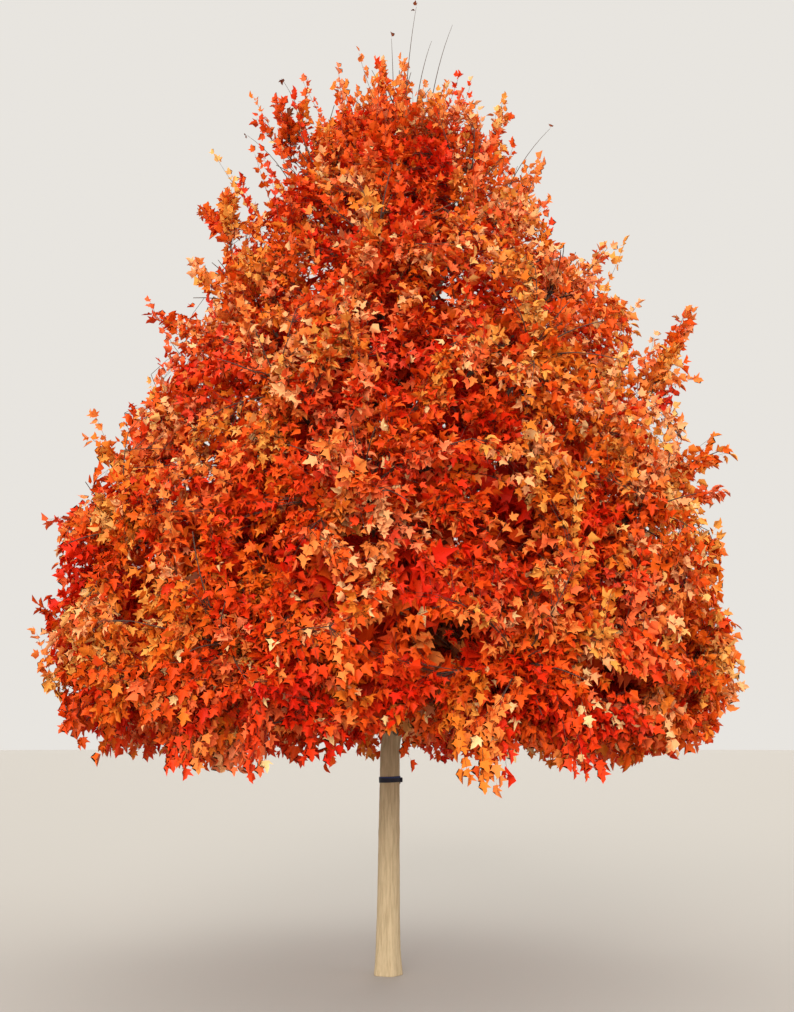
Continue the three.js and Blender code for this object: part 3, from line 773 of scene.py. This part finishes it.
def trunk_piece(wood):
    """The whole trunk, from the ground to its tip, with its furrows and scars."""

    def place(share, turn):
        height = TRUNK_TIP * share**TRUNK_RING_SPACING
        centre = trunk_centre(height)
        radius = trunk_radius(wood, height, turn)
        out = np.array([math.sin(turn), -math.cos(turn), 0])
        relief = bark_relief(centre + out * radius, wood.relief * radius / wood.trunk_radius)
        return Vector(centre + out * (radius + relief + scar_rise(height, turn, radius)))

    mesh = mesh_from("trunk_bark", limb_shape(TRUNK_SIDES, TRUNK_RINGS, place))
    finish = bark_finish("trunk_bark", wood.bark_light, wood.bark_dark, TRUNK_STREAKS)
    return finished_piece("trunk_bark", mesh, [finish], "bark", "trunk")


def bough_shape(mass, wood):
    """A bough and the stem that it becomes inside its mass, one tapering limb."""
    root, bend, tip, end = limb_line(mass)
    points = curve_points(root, bend, tip, np.linspace(0, 1, LENGTH_STEPS))
    length = np.linalg.norm(np.diff(points, axis=0), axis=1).sum()
    total = length + np.linalg.norm(end - tip)
    span = tip - root
    side = unit(np.array([-span[1], span[0], 0]))

    def centre_line(run):
        if run <= length:
            share = np.array(run / length)
            tangent = (1 - share) * (bend - root) + share * (tip - bend)
            collar = 1 + BOUGH_COLLAR * math.exp(-share * COLLAR_FADE)
            radius = BOUGH_TIP_RADIUS + BOUGH_SLENDERNESS * length * (1 - share) * collar
            return curve_points(root, bend, tip, share), tangent, radius
        share = (run - length) / (total - length)
        radius = BOUGH_TIP_RADIUS + (STEM_END_RADIUS - BOUGH_TIP_RADIUS) * share
        return tip + (end - tip) * share, end - bend, radius

    def place(share, turn):
        centre, tangent, radius = centre_line(share * total)
        over = np.cross(side, unit(tangent))
        out = math.cos(turn) * side + math.sin(turn) * over
        around = np.array([math.cos(turn), math.sin(turn), 0]) * radius
        grain = around + UP * (share * total + mass.index)
        return Vector(centre + out * (radius + bark_relief(grain, wood.relief * BOUGH_RELIEF)))

    return limb_shape(BOUGH_SIDES, BOUGH_RINGS, place)


def boughs_piece(tier, row, wood, finish):
    """The boughs of one tier, joined."""
    joined = bmesh.new()
    for mass in row:
        mesh = mesh_from("bough", bough_shape(mass, wood))
        joined.from_mesh(mesh)
        bpy.data.meshes.remove(mesh)
    mesh = mesh_from(f"boughs_{tier}", joined)
    nodes = [f"bough_{mass.label}" for mass in row]
    return finished_piece(f"boughs_{tier}", mesh, [finish], "bough_bark", *nodes)


def knot_mesh(place):
    """A soft lump where the strap's ends are tied."""
    knot = bmesh.new()
    bmesh.ops.create_cube(knot, size=1)
    bmesh.ops.subdivide_edges(knot, edges=knot.edges[:], cuts=KNOT_CUTS, use_grid_fill=True)
    bmesh.ops.scale(knot, vec=KNOT_SIZE, verts=knot.verts[:])
    axes = {"use_axis_x": True, "use_axis_y": True, "use_axis_z": True}
    for _ in range(KNOT_SMOOTHINGS):
        bmesh.ops.smooth_vert(knot, verts=knot.verts[:], factor=0.5, **axes)
    bmesh.ops.translate(knot, vec=place, verts=knot.verts[:])
    return mesh_from("knot", knot)


def band_piece(wood):
    """The strap, wound twice round the trunk, and its knot."""
    middle = Vector(trunk_centre(BAND_HEIGHT))
    radius = trunk_radius(wood, BAND_HEIGHT) + STRAP_THICKNESS
    strap = bmesh.new()
    corners = [
        (radius + out * STRAP_THICKNESS, 0, (up - STRAP_DROP) * STRAP_WIDTH)
        for out, up in STRAP_SECTION
    ]
    strap.faces.new([strap.verts.new(middle + Vector(corner)) for corner in corners])
    bmesh.ops.spin(
        strap,
        geom=strap.verts[:] + strap.edges[:] + strap.faces[:],
        cent=middle,
        axis=(0, 0, 1),
        dvec=(STRAP_DRIFT / STRAP_STEPS, 0, STRAP_RISE * STRAP_WIDTH / STRAP_STEPS),
        angle=FULL_TURN * STRAP_TURNS,
        steps=STRAP_STEPS,
    )
    knot = knot_mesh(middle + Vector((radius + 0.5 * KNOT_SIZE.x, 0, 0)))
    strap.from_mesh(knot)
    bpy.data.meshes.remove(knot)
    mesh = mesh_from("tie_strap", strap, smooth=False)
    finish = webbing_finish("webbing", wood.band_colour, wood.band_line)
    return finished_piece("tie_strap", mesh, [finish], "band", "tie_band")


def tubes(lines, radii, sides):
    """Thin closed tubes along many lines of points, as vertices and triangles."""
    count, points = lines.shape[:2]
    tangents = unit(np.gradient(lines, axis=1))
    helper = np.where(np.abs(tangents[..., 2:]) > STEEP, [1.0, 0.0, 0.0], UP)
    side = unit(np.cross(tangents, helper))
    over = np.cross(tangents, side)
    turns = np.arange(sides) * FULL_TURN / sides
    ring = np.cos(turns)[:, None] * side[:, :, None] + np.sin(turns)[:, None] * over[:, :, None]
    vertices = lines[:, :, None] + ring * radii[..., None, None]
    first = np.arange(sides)
    after = (first + 1) % sides
    strip = np.concatenate(
        [np.stack([first, after, after + sides], 1), np.stack([first, after + sides, first + sides], 1)]
    )
    wall = (strip[None] + sides * np.arange(points - 1)[:, None, None]).reshape(-1, 3)
    cap = np.stack([np.zeros(sides - 2, int), first[1:-1], first[2:]], 1)
    closed = np.concatenate([wall, cap[:, ::-1], cap + sides * (points - 1)])
    faces = closed[None] + sides * points * np.arange(count)[:, None, None]
    return vertices.reshape(-1, 3), faces.reshape(-1, 3)


def leaf_template(fold, curl, lobes, stalk):
    """A five-lobed leaf of length 1: folded along the midrib, with its lobes curled back."""
    shape = bmesh.new()
    base, tip = shape.verts.new((0, 0, 0)), shape.verts.new((1, 0, 0))
    near = [shape.verts.new((x, -y, 0)) for x, y in lobes]
    far = [shape.verts.new((x, y, 0)) for x, y in lobes]
    shape.faces.new([base, *near, tip])
    shape.faces.new([tip, *reversed(far), base])
    for vertex in shape.verts:
        x, y = vertex.co.x, vertex.co.y
        vertex.co.z = fold * abs(y) - curl * ((x - LEAF_KEEL) ** 2 + y * y)
    x, z = PETIOLE_START
    if stalk:
        sides = [shape.verts.new((0, side * PETIOLE_HALF_WIDTH, base.co.z)) for side in (-1, 1)]
        shape.faces.new([shape.verts.new((x, 0, z)), *sides])
    bmesh.ops.triangulate(shape, faces=shape.faces[:])
    bmesh.ops.translate(shape, verts=shape.verts[:], vec=(-x, 0, -z))
    shape.verts.index_update()
    vertices = np.array([v.co for v in shape.verts])
    faces = np.array([[v.index for v in face.verts] for face in shape.faces])
    shape.free()
    return vertices, faces


def leaf_templates():
    """The leaves of the crown's skin, then as many plainer ones for its depth."""
    outer = [leaf_template(fold, curl, LEAF_LOBES, True) for fold, curl in LEAF_SHAPES]
    return outer + [leaf_template(fold, curl, PLAIN_LOBES, False) for fold, curl in LEAF_SHAPES]


# Growth.


class Growth:
    """The twigs and leaves of some masses, gathered before they are joined."""

    def __init__(self):
        self.mains, self.sides, self.shoots, self.lone, self.leaves = [], [], [], [], []

    def twigs(self):
        """The lines of each kind of twig, their radii and their number of sides."""
        kinds = [
            (self.mains, MAIN_RADIUS, 4),
            (self.sides, SIDE_RADIUS, 3),
            (self.shoots, SHOOT_RADIUS, 3),
            (self.lone, SHOOT_RADIUS, 3),
        ]
        return [(np.concatenate(lines), radii, sides) for lines, radii, sides in kinds if lines]


def main_twigs(mass):
    """The mass's main twigs: they leave its stem one after another and run to the edge of its space."""
    turned = FULL_TURN * seeded(TREE_SEED + FOLIAGE_SEED_STEP * (mass.index + 1))()
    directions = outward_directions(mass, MAIN_TWIGS, turned)
    reach = mass.space(directions) * MAIN_REACH
    *_, tip, end = limb_line(mass)
    back = unit(end - tip)
    facing = directions @ back
    rank = np.argsort(np.argsort(facing)) / max(len(facing) - 1, 1)
    depth = min(MAIN_BASE_SPREAD, MAIN_BASE_LIMIT * np.linalg.norm(end - tip))
    starts = end - back * (depth * (1 - rank))[:, None]
    tips = mass.centre + directions * reach[:, None]
    bends = starts + back * (MAIN_RUN_ON * reach)[:, None] + (tips - starts) * MAIN_BEND
    return curves(starts, bends, tips, MAIN_POINTS)


def curves(starts, bends, ends, points):
    """Many curves with one bend each, as rows of points."""
    shares = np.linspace(0, 1, points)[None].repeat(len(starts), 0)
    return curve_points(starts[:, None], bends[:, None], ends[:, None], shares)


def branch_off(carriers, tips, wanted, points, rng):
    """Twigs to the tips, each from the place on the carriers that lets it run on easily."""
    places = np.concatenate([line.reshape(-1, 3) for line in carriers])
    ways = np.concatenate([unit(np.gradient(line, axis=-2)).reshape(-1, 3) for line in carriers])
    spans = tips[:, None] - places
    lengths = np.linalg.norm(spans, axis=2)
    along = np.einsum("tni,ni->tn", spans, ways) / np.maximum(lengths, TINY)
    cost = np.abs(lengths - wanted) + BACKWARD_COST * (1 - along)
    root = cost.argmin(1)
    rows = np.arange(len(tips))
    length = lengths[rows, root][:, None]
    forward = np.clip(along[rows, root], 0, 1)[:, None]
    bends = places[root] * (1 - TWIG_BEND) + tips * TWIG_BEND
    bends = bends + ways[root] * forward * length * TWIG_RUN_ON + UP * length * TWIG_ARCH
    return curves(places[root], bends + rng.normal(0, TWIG_WAVER, tips.shape), tips, points)


def nearest(points, centres):
    """Which centre each point is nearest to."""
    return np.linalg.norm(points[:, None] - centres, axis=2).argmin(1)


def rising_twigs(carriers, feet, tips):
    """Twigs that leave the carriers near the feet and rise to the tips."""
    places = np.concatenate([line.reshape(-1, 3) for line in carriers])
    starts = places[nearest(feet, places)]
    bends = sum(ends * weight for ends, weight in zip((starts, feet, tips), RISING_WEIGHTS))
    return curves(starts, bends, tips, SIDE_POINTS)


def upright_sprays(carriers, tips, rise=1):
    """Shoots that rise to the tips from under them, or hang from over them where the rise is -1."""
    inward = unit(tips * [-1, -1, 0]) * TALL_SPRAY_LEAN
    return rising_twigs(carriers, tips + inward - UP * TALL_SPRAY_LENGTH * rise, tips)


def all_plumes():
    """Feet, tips and radii of the tufts, the lower ones set round the crown several times."""
    feet, tips = (np.array([plume[end] for plume in PLUMES]) for end in (0, 1))
    radii = np.array([plume[2] for plume in PLUMES])
    sets = [(feet, tips, radii)]
    low = tips[:, 2] < PLUME_TOP
    for turn, share, drop in PLUME_SETS:
        cos, sin = math.cos(turn), math.sin(turn)
        spin = np.array([[cos, sin, 0], [-sin, cos, 0], [0, 0, 1]])
        squeeze = np.array([share, share, 1])
        sets.append((*(ends[low] @ spin * squeeze - UP * drop for ends in (feet, tips)), radii[low]))
    return [np.concatenate(rows) for rows in zip(*sets)]


def plume_shoots(stems, radii, rng):
    """The leafy shoots of tufts, in a body round each stem that narrows to its tip."""
    counts = np.round(PLUME_SHOOTS * radii).astype(int)
    stems, radii = stems.repeat(counts, 0), radii.repeat(counts)
    along = rng.uniform(PLUME_START, 1, len(stems))
    spread = rng.normal(0, 1, (len(stems), 3)) * (radii * (PLUME_TAPER - along))[:, None]
    tips = points_along(stems, along) + unit(stems[:, -1] - stems[:, -3]) * PLUME_TIP_STEP + spread
    roots = points_along(stems, np.maximum(along - PLUME_SHOOT_SPAN, 0))
    bends = roots * 0.5 + tips * 0.5 + (tips - roots)[:, [1, 0, 2]] * PLUME_SWIRL
    return curves(roots, bends, tips, SHOOT_POINTS)


def crown_skin(count, rng):
    """Places spread evenly over the crown's skin, and the way out at each."""
    rows = np.array(SKIN_ROWS)
    middle = rows[:, 1:].mean(1)
    rise, widening = np.diff(rows[:, 0]), np.diff(middle)
    length = np.hypot(rise, widening)
    area = length * (middle[1:] + middle[:-1])
    row = rng.choice(len(area), count, p=area / area.sum())
    azimuth = rng.uniform(0, FULL_TURN, count)
    height, left, right = (rows[row] + np.diff(rows, axis=0)[row] * rng.uniform(0, 1, (count, 1))).T
    reach = lobed_reach(height, azimuth, left, right)
    flat = np.stack([np.cos(azimuth), np.sin(azimuth), np.zeros(count)], 1)
    out = flat * (rise / length)[row, None] - UP * (widening / length)[row, None]
    return flat * reach[:, None] * [1, SKIN_FLATNESS, 1] + UP * height[:, None], out


def clump(points):
    """How far the crown's skin sinks between clumps of leaves, as a share."""
    sunk = CLUMP_START
    for fineness, weight in zip(CLUMP_FINENESS, CLUMP_WEIGHTS):
        sunk = sunk - weight * np.array([noise.noise(Vector(point) * fineness) for point in points])
    return np.clip(sunk, 0, 1)


def shoot_tips(foliage):
    """Tips of all the crown's shoots, their depth under its skin, and the size of their leaves."""
    rng = np.random.default_rng(TREE_SEED)
    skin, out = crown_skin(foliage.shoots, rng)
    depth = clump(skin) * CLUMP_DEPTH + rng.exponential(SKIN_DEPTH, len(skin))
    depth = np.clip(depth, 0, np.minimum(DEEPEST, DEEPEST_SHARE * np.hypot(skin[:, 0], skin[:, 1])))
    inner, inward = crown_skin(foliage.inner_shoots, rng)
    inner_depth = rng.uniform(*INNER_DEPTH, len(inner))
    inner_depth = np.minimum(inner_depth, INNER_SHARE * np.hypot(inner[:, 0], inner[:, 1]))
    tips = np.concatenate([skin - out * depth[:, None], inner - inward * inner_depth[:, None]])
    sizes = np.concatenate([np.ones(len(skin)), np.full(len(inner), INNER_LEAF)])
    kept = np.ones(len(tips), bool)
    for centre, half in HOLLOWS:
        kept &= np.linalg.norm((tips - centre) / half, axis=1) > 1
    return tips[kept], np.concatenate([depth, inner_depth])[kept], sizes[kept]


def stray_tips(foliage):
    """Tips of the few shoots that stand out of the crown, further out the higher they are."""
    rng = np.random.default_rng(TREE_SEED + 1)
    skin, out = crown_skin(foliage.strays * 2, rng)
    rise = (skin[:, 2] - STRAY_FLOOR) / (CROWN_ROWS[-1][0] - STRAY_FLOOR)
    beyond = rng.uniform(0, 1, len(skin)) * np.interp(rise, (0, 1), STRAY_BEYOND)
    tips = skin + unit(out + UP * np.clip(rise, 0, 1)[:, None] * STRAY_RISE) * beyond[:, None]
    return np.concatenate([tips[rise > 0][: foliage.strays], TALL_SPRAYS])


def crown_normal(points):
    """The way out of the crown at each point."""
    sideways, upright = NORMAL_WEIGHTS
    flat = points * [1, 1, 0] * sideways
    return unit(flat + UP * (points[:, 2:] - CROWN_MIDDLE) * upright)


def tint_for(point, outerness, draw):
    """The tint of a spray, from its place in the crown."""
    place = Vector(point)
    # The lowest leaves take darker, redder tints as painted shade under the crown.
    low = min(max((LOW_SHADE_HEIGHT - place.z) / LOW_SHADE_RANGE, 0), 1)
    found = []
    for value, outer_sunlit_share, low_shade_share, waves in (WARMTH, LIGHTNESS):
        for weight, fineness, shift in waves:
            value += weight * noise.noise(place * fineness + Vector(shift))
        # Outer leaves take paler, more orange tints, partly as painted sunlight.
        found.append(value + outer_sunlit_share * outerness - low_shade_share * low)
    warmth, lightness = found
    # A patch that takes lightness away paints shade in a hollow of the crown.
    for centre, radius, warmer, lighter in TINT_PATCHES:
        nearness = math.exp(-((place - Vector(centre)).length / radius) ** 2)
        warmth += warmer * nearness
        lightness += lighter * nearness
    misses = [
        (warmth - warm) ** 2 + LIGHTNESS_WEIGHT * (lightness - light) ** 2 for *_, warm, light in TINTS
    ]
    sums = np.cumsum([math.exp(-miss / (2 * TINT_SPREAD**2)) for miss in misses])
    return int(np.searchsorted(sums, draw * sums[-1]))


def points_along(lines, shares):
    """A point on each line, by its share of the line."""
    spot = shares * (lines.shape[1] - 1)
    low = np.minimum(spot.astype(int), lines.shape[1] - 2)
    rows = np.arange(len(lines))
    rest = (spot - low)[:, None]
    return lines[rows, low] * (1 - rest) + lines[rows, low + 1] * rest


def add_leaves(growth, lines, depth, sizes, foliage, rng, shares=PAIR_SHARES, lift=0.0):
    """Opposite pairs of leaves along shoots, each pair turned from the last, and one at the tip."""
    count = len(lines)
    depth = np.broadcast_to(depth, count)
    tip_direction = unit(lines[:, -1] - lines[:, -2])
    side = unit(np.cross(tip_direction, UP + rng.normal(0, PAIR_TURN, (count, 3))))
    over = np.cross(tip_direction, side)
    # Outer leaves also take paler tints, partly as painted sunlight.
    outer = 1 - np.clip(depth / DEEPEST, 0, 1)
    draws = rng.uniform(0, 1, count)
    tints = np.array([tint_for(p, o, d) for p, o, d in zip(lines[:, -1], outer, draws)])
    spans = [(share, sign, order) for order, share in enumerate(shares) for sign in (-1, 1)]
    for share, sign, order in [*spans, (1.0, 0, 0)]:
        along = np.clip(share + rng.normal(0, PAIR_JITTER, count), 0, 1)
        across = side if order % 2 else over
        petiole = unit(tip_direction * (PAIR_FORWARD if sign else 1) + sign * across)
        places = points_along(lines, along)
        plain = depth > PLAIN_DEPTH
        # Single outer leaves take the palest tint as a painted glint of sunlight.
        pale = rng.uniform(0, 1, count) < PAINTED_GLINT_SHARE * outer
        dealt = np.where(pale, PAINTED_GLINT_TINT, tints)
        leaves = leaf_set(places, petiole, sizes, lift, foliage, rng, plain)
        growth.leaves.append((*leaves, dealt, plain))


def leaf_set(places, petioles, sizes, lift, foliage, rng, plain):
    """One leaf on each place: its blade leans out and down, and its face turns to the light."""
    count = len(places)
    outward = crown_normal(places)
    rise = np.clip((places[:, 2:] - CROWN_ROWS[0][0]) / (CROWN_ROWS[-1][0] - CROWN_ROWS[0][0]), 0, 1)
    droop = foliage.droop * (1 - rise) - TOP_RISE * rise - lift
    stalk, out, chance = BLADE_WEIGHTS
    lean = rng.normal(0, chance, (count, 3))
    blade = unit(stalk * petioles + out * outward - UP * droop + lean)
    out, up, chance = FACE_WEIGHTS
    turning = np.where(plain, INNER_TURNING, chance)[:, None]
    facing = out * outward + up * UP + rng.normal(0, 1, (count, 3)) * turning
    normal = unit(facing - blade * (facing * blade).sum(1, keepdims=True))
    across = np.cross(normal, blade)
    shrinking = (foliage.top_leaf_length - foliage.leaf_length) * rise[:, 0] ** SHRINK_POWER
    length = (foliage.leaf_length + shrinking) * sizes * rng.uniform(*LEAF_SIZES, count)
    return places, np.stack([blade, across, normal], 1), length


def all_ends(foliage, masses):
    """The crown's shoots, tall sprays, hanging sprays and tufts, each kind with its masses' numbers."""
    centres = np.array([mass.centre for mass in masses])
    rng = np.random.default_rng(TREE_SEED + 3)
    kinds = [shoot_tips(foliage), [stray_tips(foliage)], [np.array(HANGING_SPRAYS)]]
    shifts = [rng.normal(0, OVERLAP, ends[0].shape) for ends in kinds]
    plumes = all_plumes()
    return [
        (ends, nearest(ends[0] + shift, centres)) for ends, shift in zip([*kinds, plumes], [*shifts, 0])
    ]


def grow_mass(mass, ends, foliage, growth):
    """Main twigs, side twigs, shoots and leaves of one mass."""
    shoot_ends, (tall,), (hanging,), (feet, plume_tips, radii) = ends
    places, depths, sizes = shoot_ends
    rng = np.random.default_rng(TREE_SEED + 2 + mass.index)
    root, bend, tip, end = limb_line(mass)
    bough = curves(root[None], bend[None], tip[None], BOUGH_POINTS)
    stem = np.linspace(tip, end, STEM_POINTS)[None]
    mains = main_twigs(mass)
    growth.mains.append(mains)
    deep = places[depths > SIDE_DEPTH]
    picked = deep[rng.permutation(len(deep))[:SIDE_TWIGS]]
    sides = branch_off([bough[:, SIDES_FROM:], stem, mains], picked, SIDE_LENGTH, SIDE_POINTS, rng)
    growth.sides.append(sides)
    carriers = [bough[:, SHOOTS_FROM:], stem, mains, sides]
    shoots = branch_off(carriers, places, SHOOT_LENGTH, SHOOT_POINTS, rng)
    growth.shoots.append(shoots)
    add_leaves(growth, shoots, depths, sizes, foliage, rng)
    if len(feet):
        stems = rising_twigs([mains, sides], feet, plume_tips)
        growth.sides.append(stems)
        tufts = plume_shoots(stems, radii, rng)
        growth.shoots.append(tufts)
        add_leaves(growth, tufts, PLUME_DEPTH, PLUME_LEAF, foliage, rng)
    for sprays, rise in ((tall, 1), (hanging, -1)):
        if len(sprays):
            lone = upright_sprays([mains, sides, shoots], sprays, rise)
            growth.lone.append(lone)
            add_leaves(growth, lone, 0, 1, foliage, rng, TALL_SPRAY_PAIRS, SPRAY_LIFT * rise)


def twigs_piece(name, groups, finish, nodes):
    """Twigs joined into one mesh. Each group is its lines, radii and number of sides."""
    vertices, faces, count = [], [], 0
    for lines, radii, sides in groups:
        taper = np.linspace(*radii, lines.shape[1])[None].repeat(len(lines), 0)
        made, triangles = tubes(lines, taper, sides)
        vertices.append(made)
        faces.append(triangles + count)
        count += len(made)
    mesh = triangle_mesh(name, np.concatenate(vertices), np.concatenate(faces))
    return finished_piece(name, mesh, [finish], "bough_bark", *nodes)


def leaves_piece(name, leaves, templates, finishes, slot, nodes):
    """Leaves joined into one mesh, each face in its spray's tint."""
    places, frames, sizes, tints, plain = (np.concatenate(part) for part in zip(*leaves))
    low, high = (np.array(corner) for corner in CAD_BOX)
    step, over = LEAF_DEAL
    kind = np.arange(len(places)) * step // over % len(LEAF_SHAPES) + len(LEAF_SHAPES) * plain
    vertices, faces, face_tints, count = [], [], [], 0
    for number, (points, triangles) in enumerate(templates):
        chosen = np.flatnonzero(kind == number)
        blades = np.einsum("vi,nij->nvj", points, frames[chosen]) * sizes[chosen, None, None]
        made = places[chosen, None] + blades
        within = (made > low - LEAF_ALLOWANCE).all((1, 2)) & (made < high + LEAF_ALLOWANCE).all((1, 2))
        made, chosen = made[within], chosen[within]
        starts = count + len(points) * np.arange(len(chosen))
        vertices.append(made.reshape(-1, 3))
        faces.append((triangles[None] + starts[:, None, None]).reshape(-1, 3))
        face_tints.append(tints[chosen].repeat(len(triangles)))
        count += made.shape[0] * made.shape[1]
    mesh = triangle_mesh(name, *(np.concatenate(part) for part in (vertices, faces, face_tints)))
    return finished_piece(name, mesh, finishes, slot, *nodes)


# Operators.


class MAPLE_OT_trunk(bpy.types.Operator):
    """Model the trunk's bark"""

    bl_idname = "maple.trunk"
    bl_label = "Trunk"

    def execute(self, context):
        trunk_piece(context.scene.maple_wood)
        return {"FINISHED"}


class MAPLE_OT_tie_band(bpy.types.Operator):
    """Wind the strap round the trunk"""

    bl_idname = "maple.tie_band"
    bl_label = "Tie band"

    def execute(self, context):
        band_piece(context.scene.maple_wood)
        return {"FINISHED"}


class MAPLE_OT_boughs(bpy.types.Operator):
    """Model the boughs' bark, tier by tier"""

    bl_idname = "maple.boughs"
    bl_label = "Boughs"

    def execute(self, context):
        wood = context.scene.maple_wood
        finish = bark_finish("bough_bark", wood.bough_light, wood.bough_dark, BOUGH_STREAKS)
        for tier, row in enumerate(place_masses()[:-1], 1):
            boughs_piece(tier, row, wood, finish)
        return {"FINISHED"}


class MAPLE_OT_foliage(bpy.types.Operator):
    """Grow the twigs and leaves of every mass"""

    bl_idname = "maple.foliage"
    bl_label = "Twigs and leaves"

    def execute(self, context):
        scene = context.scene
        foliage = scene.maple_foliage
        twig = twig_finish("twig_bark", scene.maple_wood.twig_colour)
        finishes = [
            leaf_finish(f"leaf_{name}", getattr(scene.maple_tints, name), foliage.roughness)
            for name, *_ in TINTS
        ]
        templates = leaf_templates()
        tiers = place_masses()
        kinds = all_ends(foliage, [mass for row in tiers for mass in row])
        for tier, row in enumerate(tiers, 1):
            for part, start in enumerate(range(0, len(row), MASSES_PER_PIECE), 1):
                masses = row[start : start + MASSES_PER_PIECE]
                growth = Growth()
                for mass in masses:
                    own = [[array[owner == mass.index] for array in ends] for ends, owner in kinds]
                    grow_mass(mass, own, foliage, growth)
                nodes = [f"leaf_mass_{mass.label}" for mass in masses]
                twigs_piece(f"twigs_{tier}_{part}", growth.twigs(), twig, nodes)
                slot = LEAF_SLOTS[tier % len(LEAF_SLOTS)]
                name = f"leaves_{tier}_{part}"
                leaves_piece(name, growth.leaves, templates, finishes, slot, nodes)
        return {"FINISHED"}


class MAPLE_OT_bare_shoots(bpy.types.Operator):
    """Add the bare shoots that stand over the crown"""

    bl_idname = "maple.bare_shoots"
    bl_label = "Bare shoots"

    def execute(self, context):
        feet, tips, leaf_counts = (np.array(part) for part in zip(*BARE_SHOOTS))
        lines = curves(feet, feet + (tips - feet) * BARE_SHOOT_BEND, tips, BARE_SHOOT_POINTS)
        twig = bpy.data.materials["twig_bark"]
        twigs_piece("bare_shoots", [(lines, BARE_SHOOT_RADIUS, 5)], twig, ["leaf_mass_top"])
        rng = np.random.default_rng(TREE_SEED - 1)
        leaves = []
        for order in range(max(leaf_counts)):
            held = lines[leaf_counts > order]
            count = len(held)
            places = points_along(held, np.full(count, 1 - order * LONE_LEAF_STEP))
            ways = unit(rng.normal(0, 1, (count, 3)))
            plain = np.zeros(count, bool)
            foliage = context.scene.maple_foliage
            leaf = leaf_set(places, ways, LONE_LEAF_SIZE, 0, foliage, rng, plain)
            leaves.append((*leaf, np.full(count, LONE_LEAF_TINT), plain))
        finishes = [bpy.data.materials[f"leaf_{name}"] for name, *_ in TINTS]
        templates = leaf_templates()
        leaves_piece("lone_leaves", leaves, templates, finishes, "leaf_deep_red", ["leaf_mass_top"])
        return {"FINISHED"}


class MAPLE_OT_stage(bpy.types.Operator):
    """Set the floor, the surroundings, the lights and the camera"""

    bl_idname = "maple.stage"
    bl_label = "Stage"

    def execute(self, context):
        stage = context.scene.maple_stage
        add_floor(stage)
        add_surroundings(stage)
        for name, side, colour in LIGHTS:
            add_light(name, side, getattr(stage, name), stage.softness, colour)
        add_camera(stage)
        context.scene.view_settings.view_transform = "Standard"
        return {"FINISHED"}


def add_floor(stage):
    """A plain pale floor, out to the horizon."""
    shape = bmesh.new()
    bmesh.ops.create_circle(shape, cap_ends=True, segments=96, radius=FLOOR_RADIUS)
    floor = add_object("floor", mesh_from("floor", shape, smooth=False))
    finish = Finish("floor")
    mottle = finish.grain(scale=2, detail=3)
    floor.data.materials.append(
        finish.surface(stage.floor_colour, mottle, roughness=0.9, strength=0.1, distance=0.01)
    )


def add_surroundings(stage):
    """An even pale sky. What the camera sees and what lights the tree have their own strengths."""
    world = bpy.data.worlds.new("surroundings")
    world.use_nodes = True
    nodes, links = world.node_tree.nodes, world.node_tree.links
    strength = nodes.new("ShaderNodeMix")
    strength.inputs["A"].default_value = stage.sky_light
    strength.inputs["B"].default_value = stage.sky_strength
    links.new(nodes.new("ShaderNodeLightPath").outputs["Is Camera Ray"], strength.inputs["Factor"])
    nodes["Background"].inputs["Color"].default_value = opaque(stage.sky_colour)
    links.new(strength.outputs["Result"], nodes["Background"].inputs["Strength"])
    bpy.context.scene.world = world


def add_light(name, side, strength, softness, colour):
    """An even soft light from one side, the same all over the scene."""
    data = bpy.data.lights.new(name, "SUN")
    data.energy = strength
    data.angle = softness
    data.color = colour
    lamp = add_object(name, data)
    lamp.location = side
    lamp.rotation_euler = (-Vector(side)).to_track_quat("-Z", "Y").to_euler()


def add_camera(stage):
    """The camera stands where the picture was taken."""
    data = bpy.data.cameras.new("camera")
    data.lens = stage.lens
    data.sensor_width = 36
    camera = add_object("camera", data)
    camera.location = (stage.camera_aside, -stage.camera_distance, stage.camera_height)
    camera.rotation_euler = (math.pi / 2 + stage.camera_pitch, 0, 0)
    bpy.context.scene.camera = camera


class MAPLE_PT_parts(bpy.types.Panel):
    """Shows the tree's settings and the buttons that build it"""

    bl_idname = "MAPLE_PT_parts"
    bl_label = "Sugar maple"
    bl_space_type = "VIEW_3D"
    bl_region_type = "UI"
    bl_category = "Maple"

    def draw(self, context):
        for group in SETTINGS:
            box = self.layout.box()
            settings = getattr(context.scene, group)
            for name in settings.bl_rna.properties.keys():
                if name not in ("rna_type", "name"):
                    box.prop(settings, name)
        for operator in OPERATORS:
            self.layout.operator(operator.bl_idname)


SETTINGS = {
    "maple_wood": MapleWood,
    "maple_foliage": MapleFoliage,
    "maple_tints": MapleTints,
    "maple_stage": MapleStage,
}
OPERATORS = [
    MAPLE_OT_trunk,
    MAPLE_OT_tie_band,
    MAPLE_OT_boughs,
    MAPLE_OT_foliage,
    MAPLE_OT_bare_shoots,
    MAPLE_OT_stage,
]
CLASSES = [*SETTINGS.values(), *OPERATORS, MAPLE_PT_parts]


def register():
    for cls in CLASSES:
        bpy.utils.register_class(cls)
    for name, group in SETTINGS.items():
        setattr(bpy.types.Scene, name, PointerProperty(type=group))


def unregister():
    for name in SETTINGS:
        delattr(bpy.types.Scene, name)
    for cls in reversed(CLASSES):
        bpy.utils.unregister_class(cls)


def main():
    register()
    bpy.ops.maple.trunk()
    bpy.ops.maple.tie_band()
    bpy.ops.maple.boughs()
    bpy.ops.maple.foliage()
    bpy.ops.maple.bare_shoots()
    bpy.ops.maple.stage()


if __name__ == "__main__":
    main()
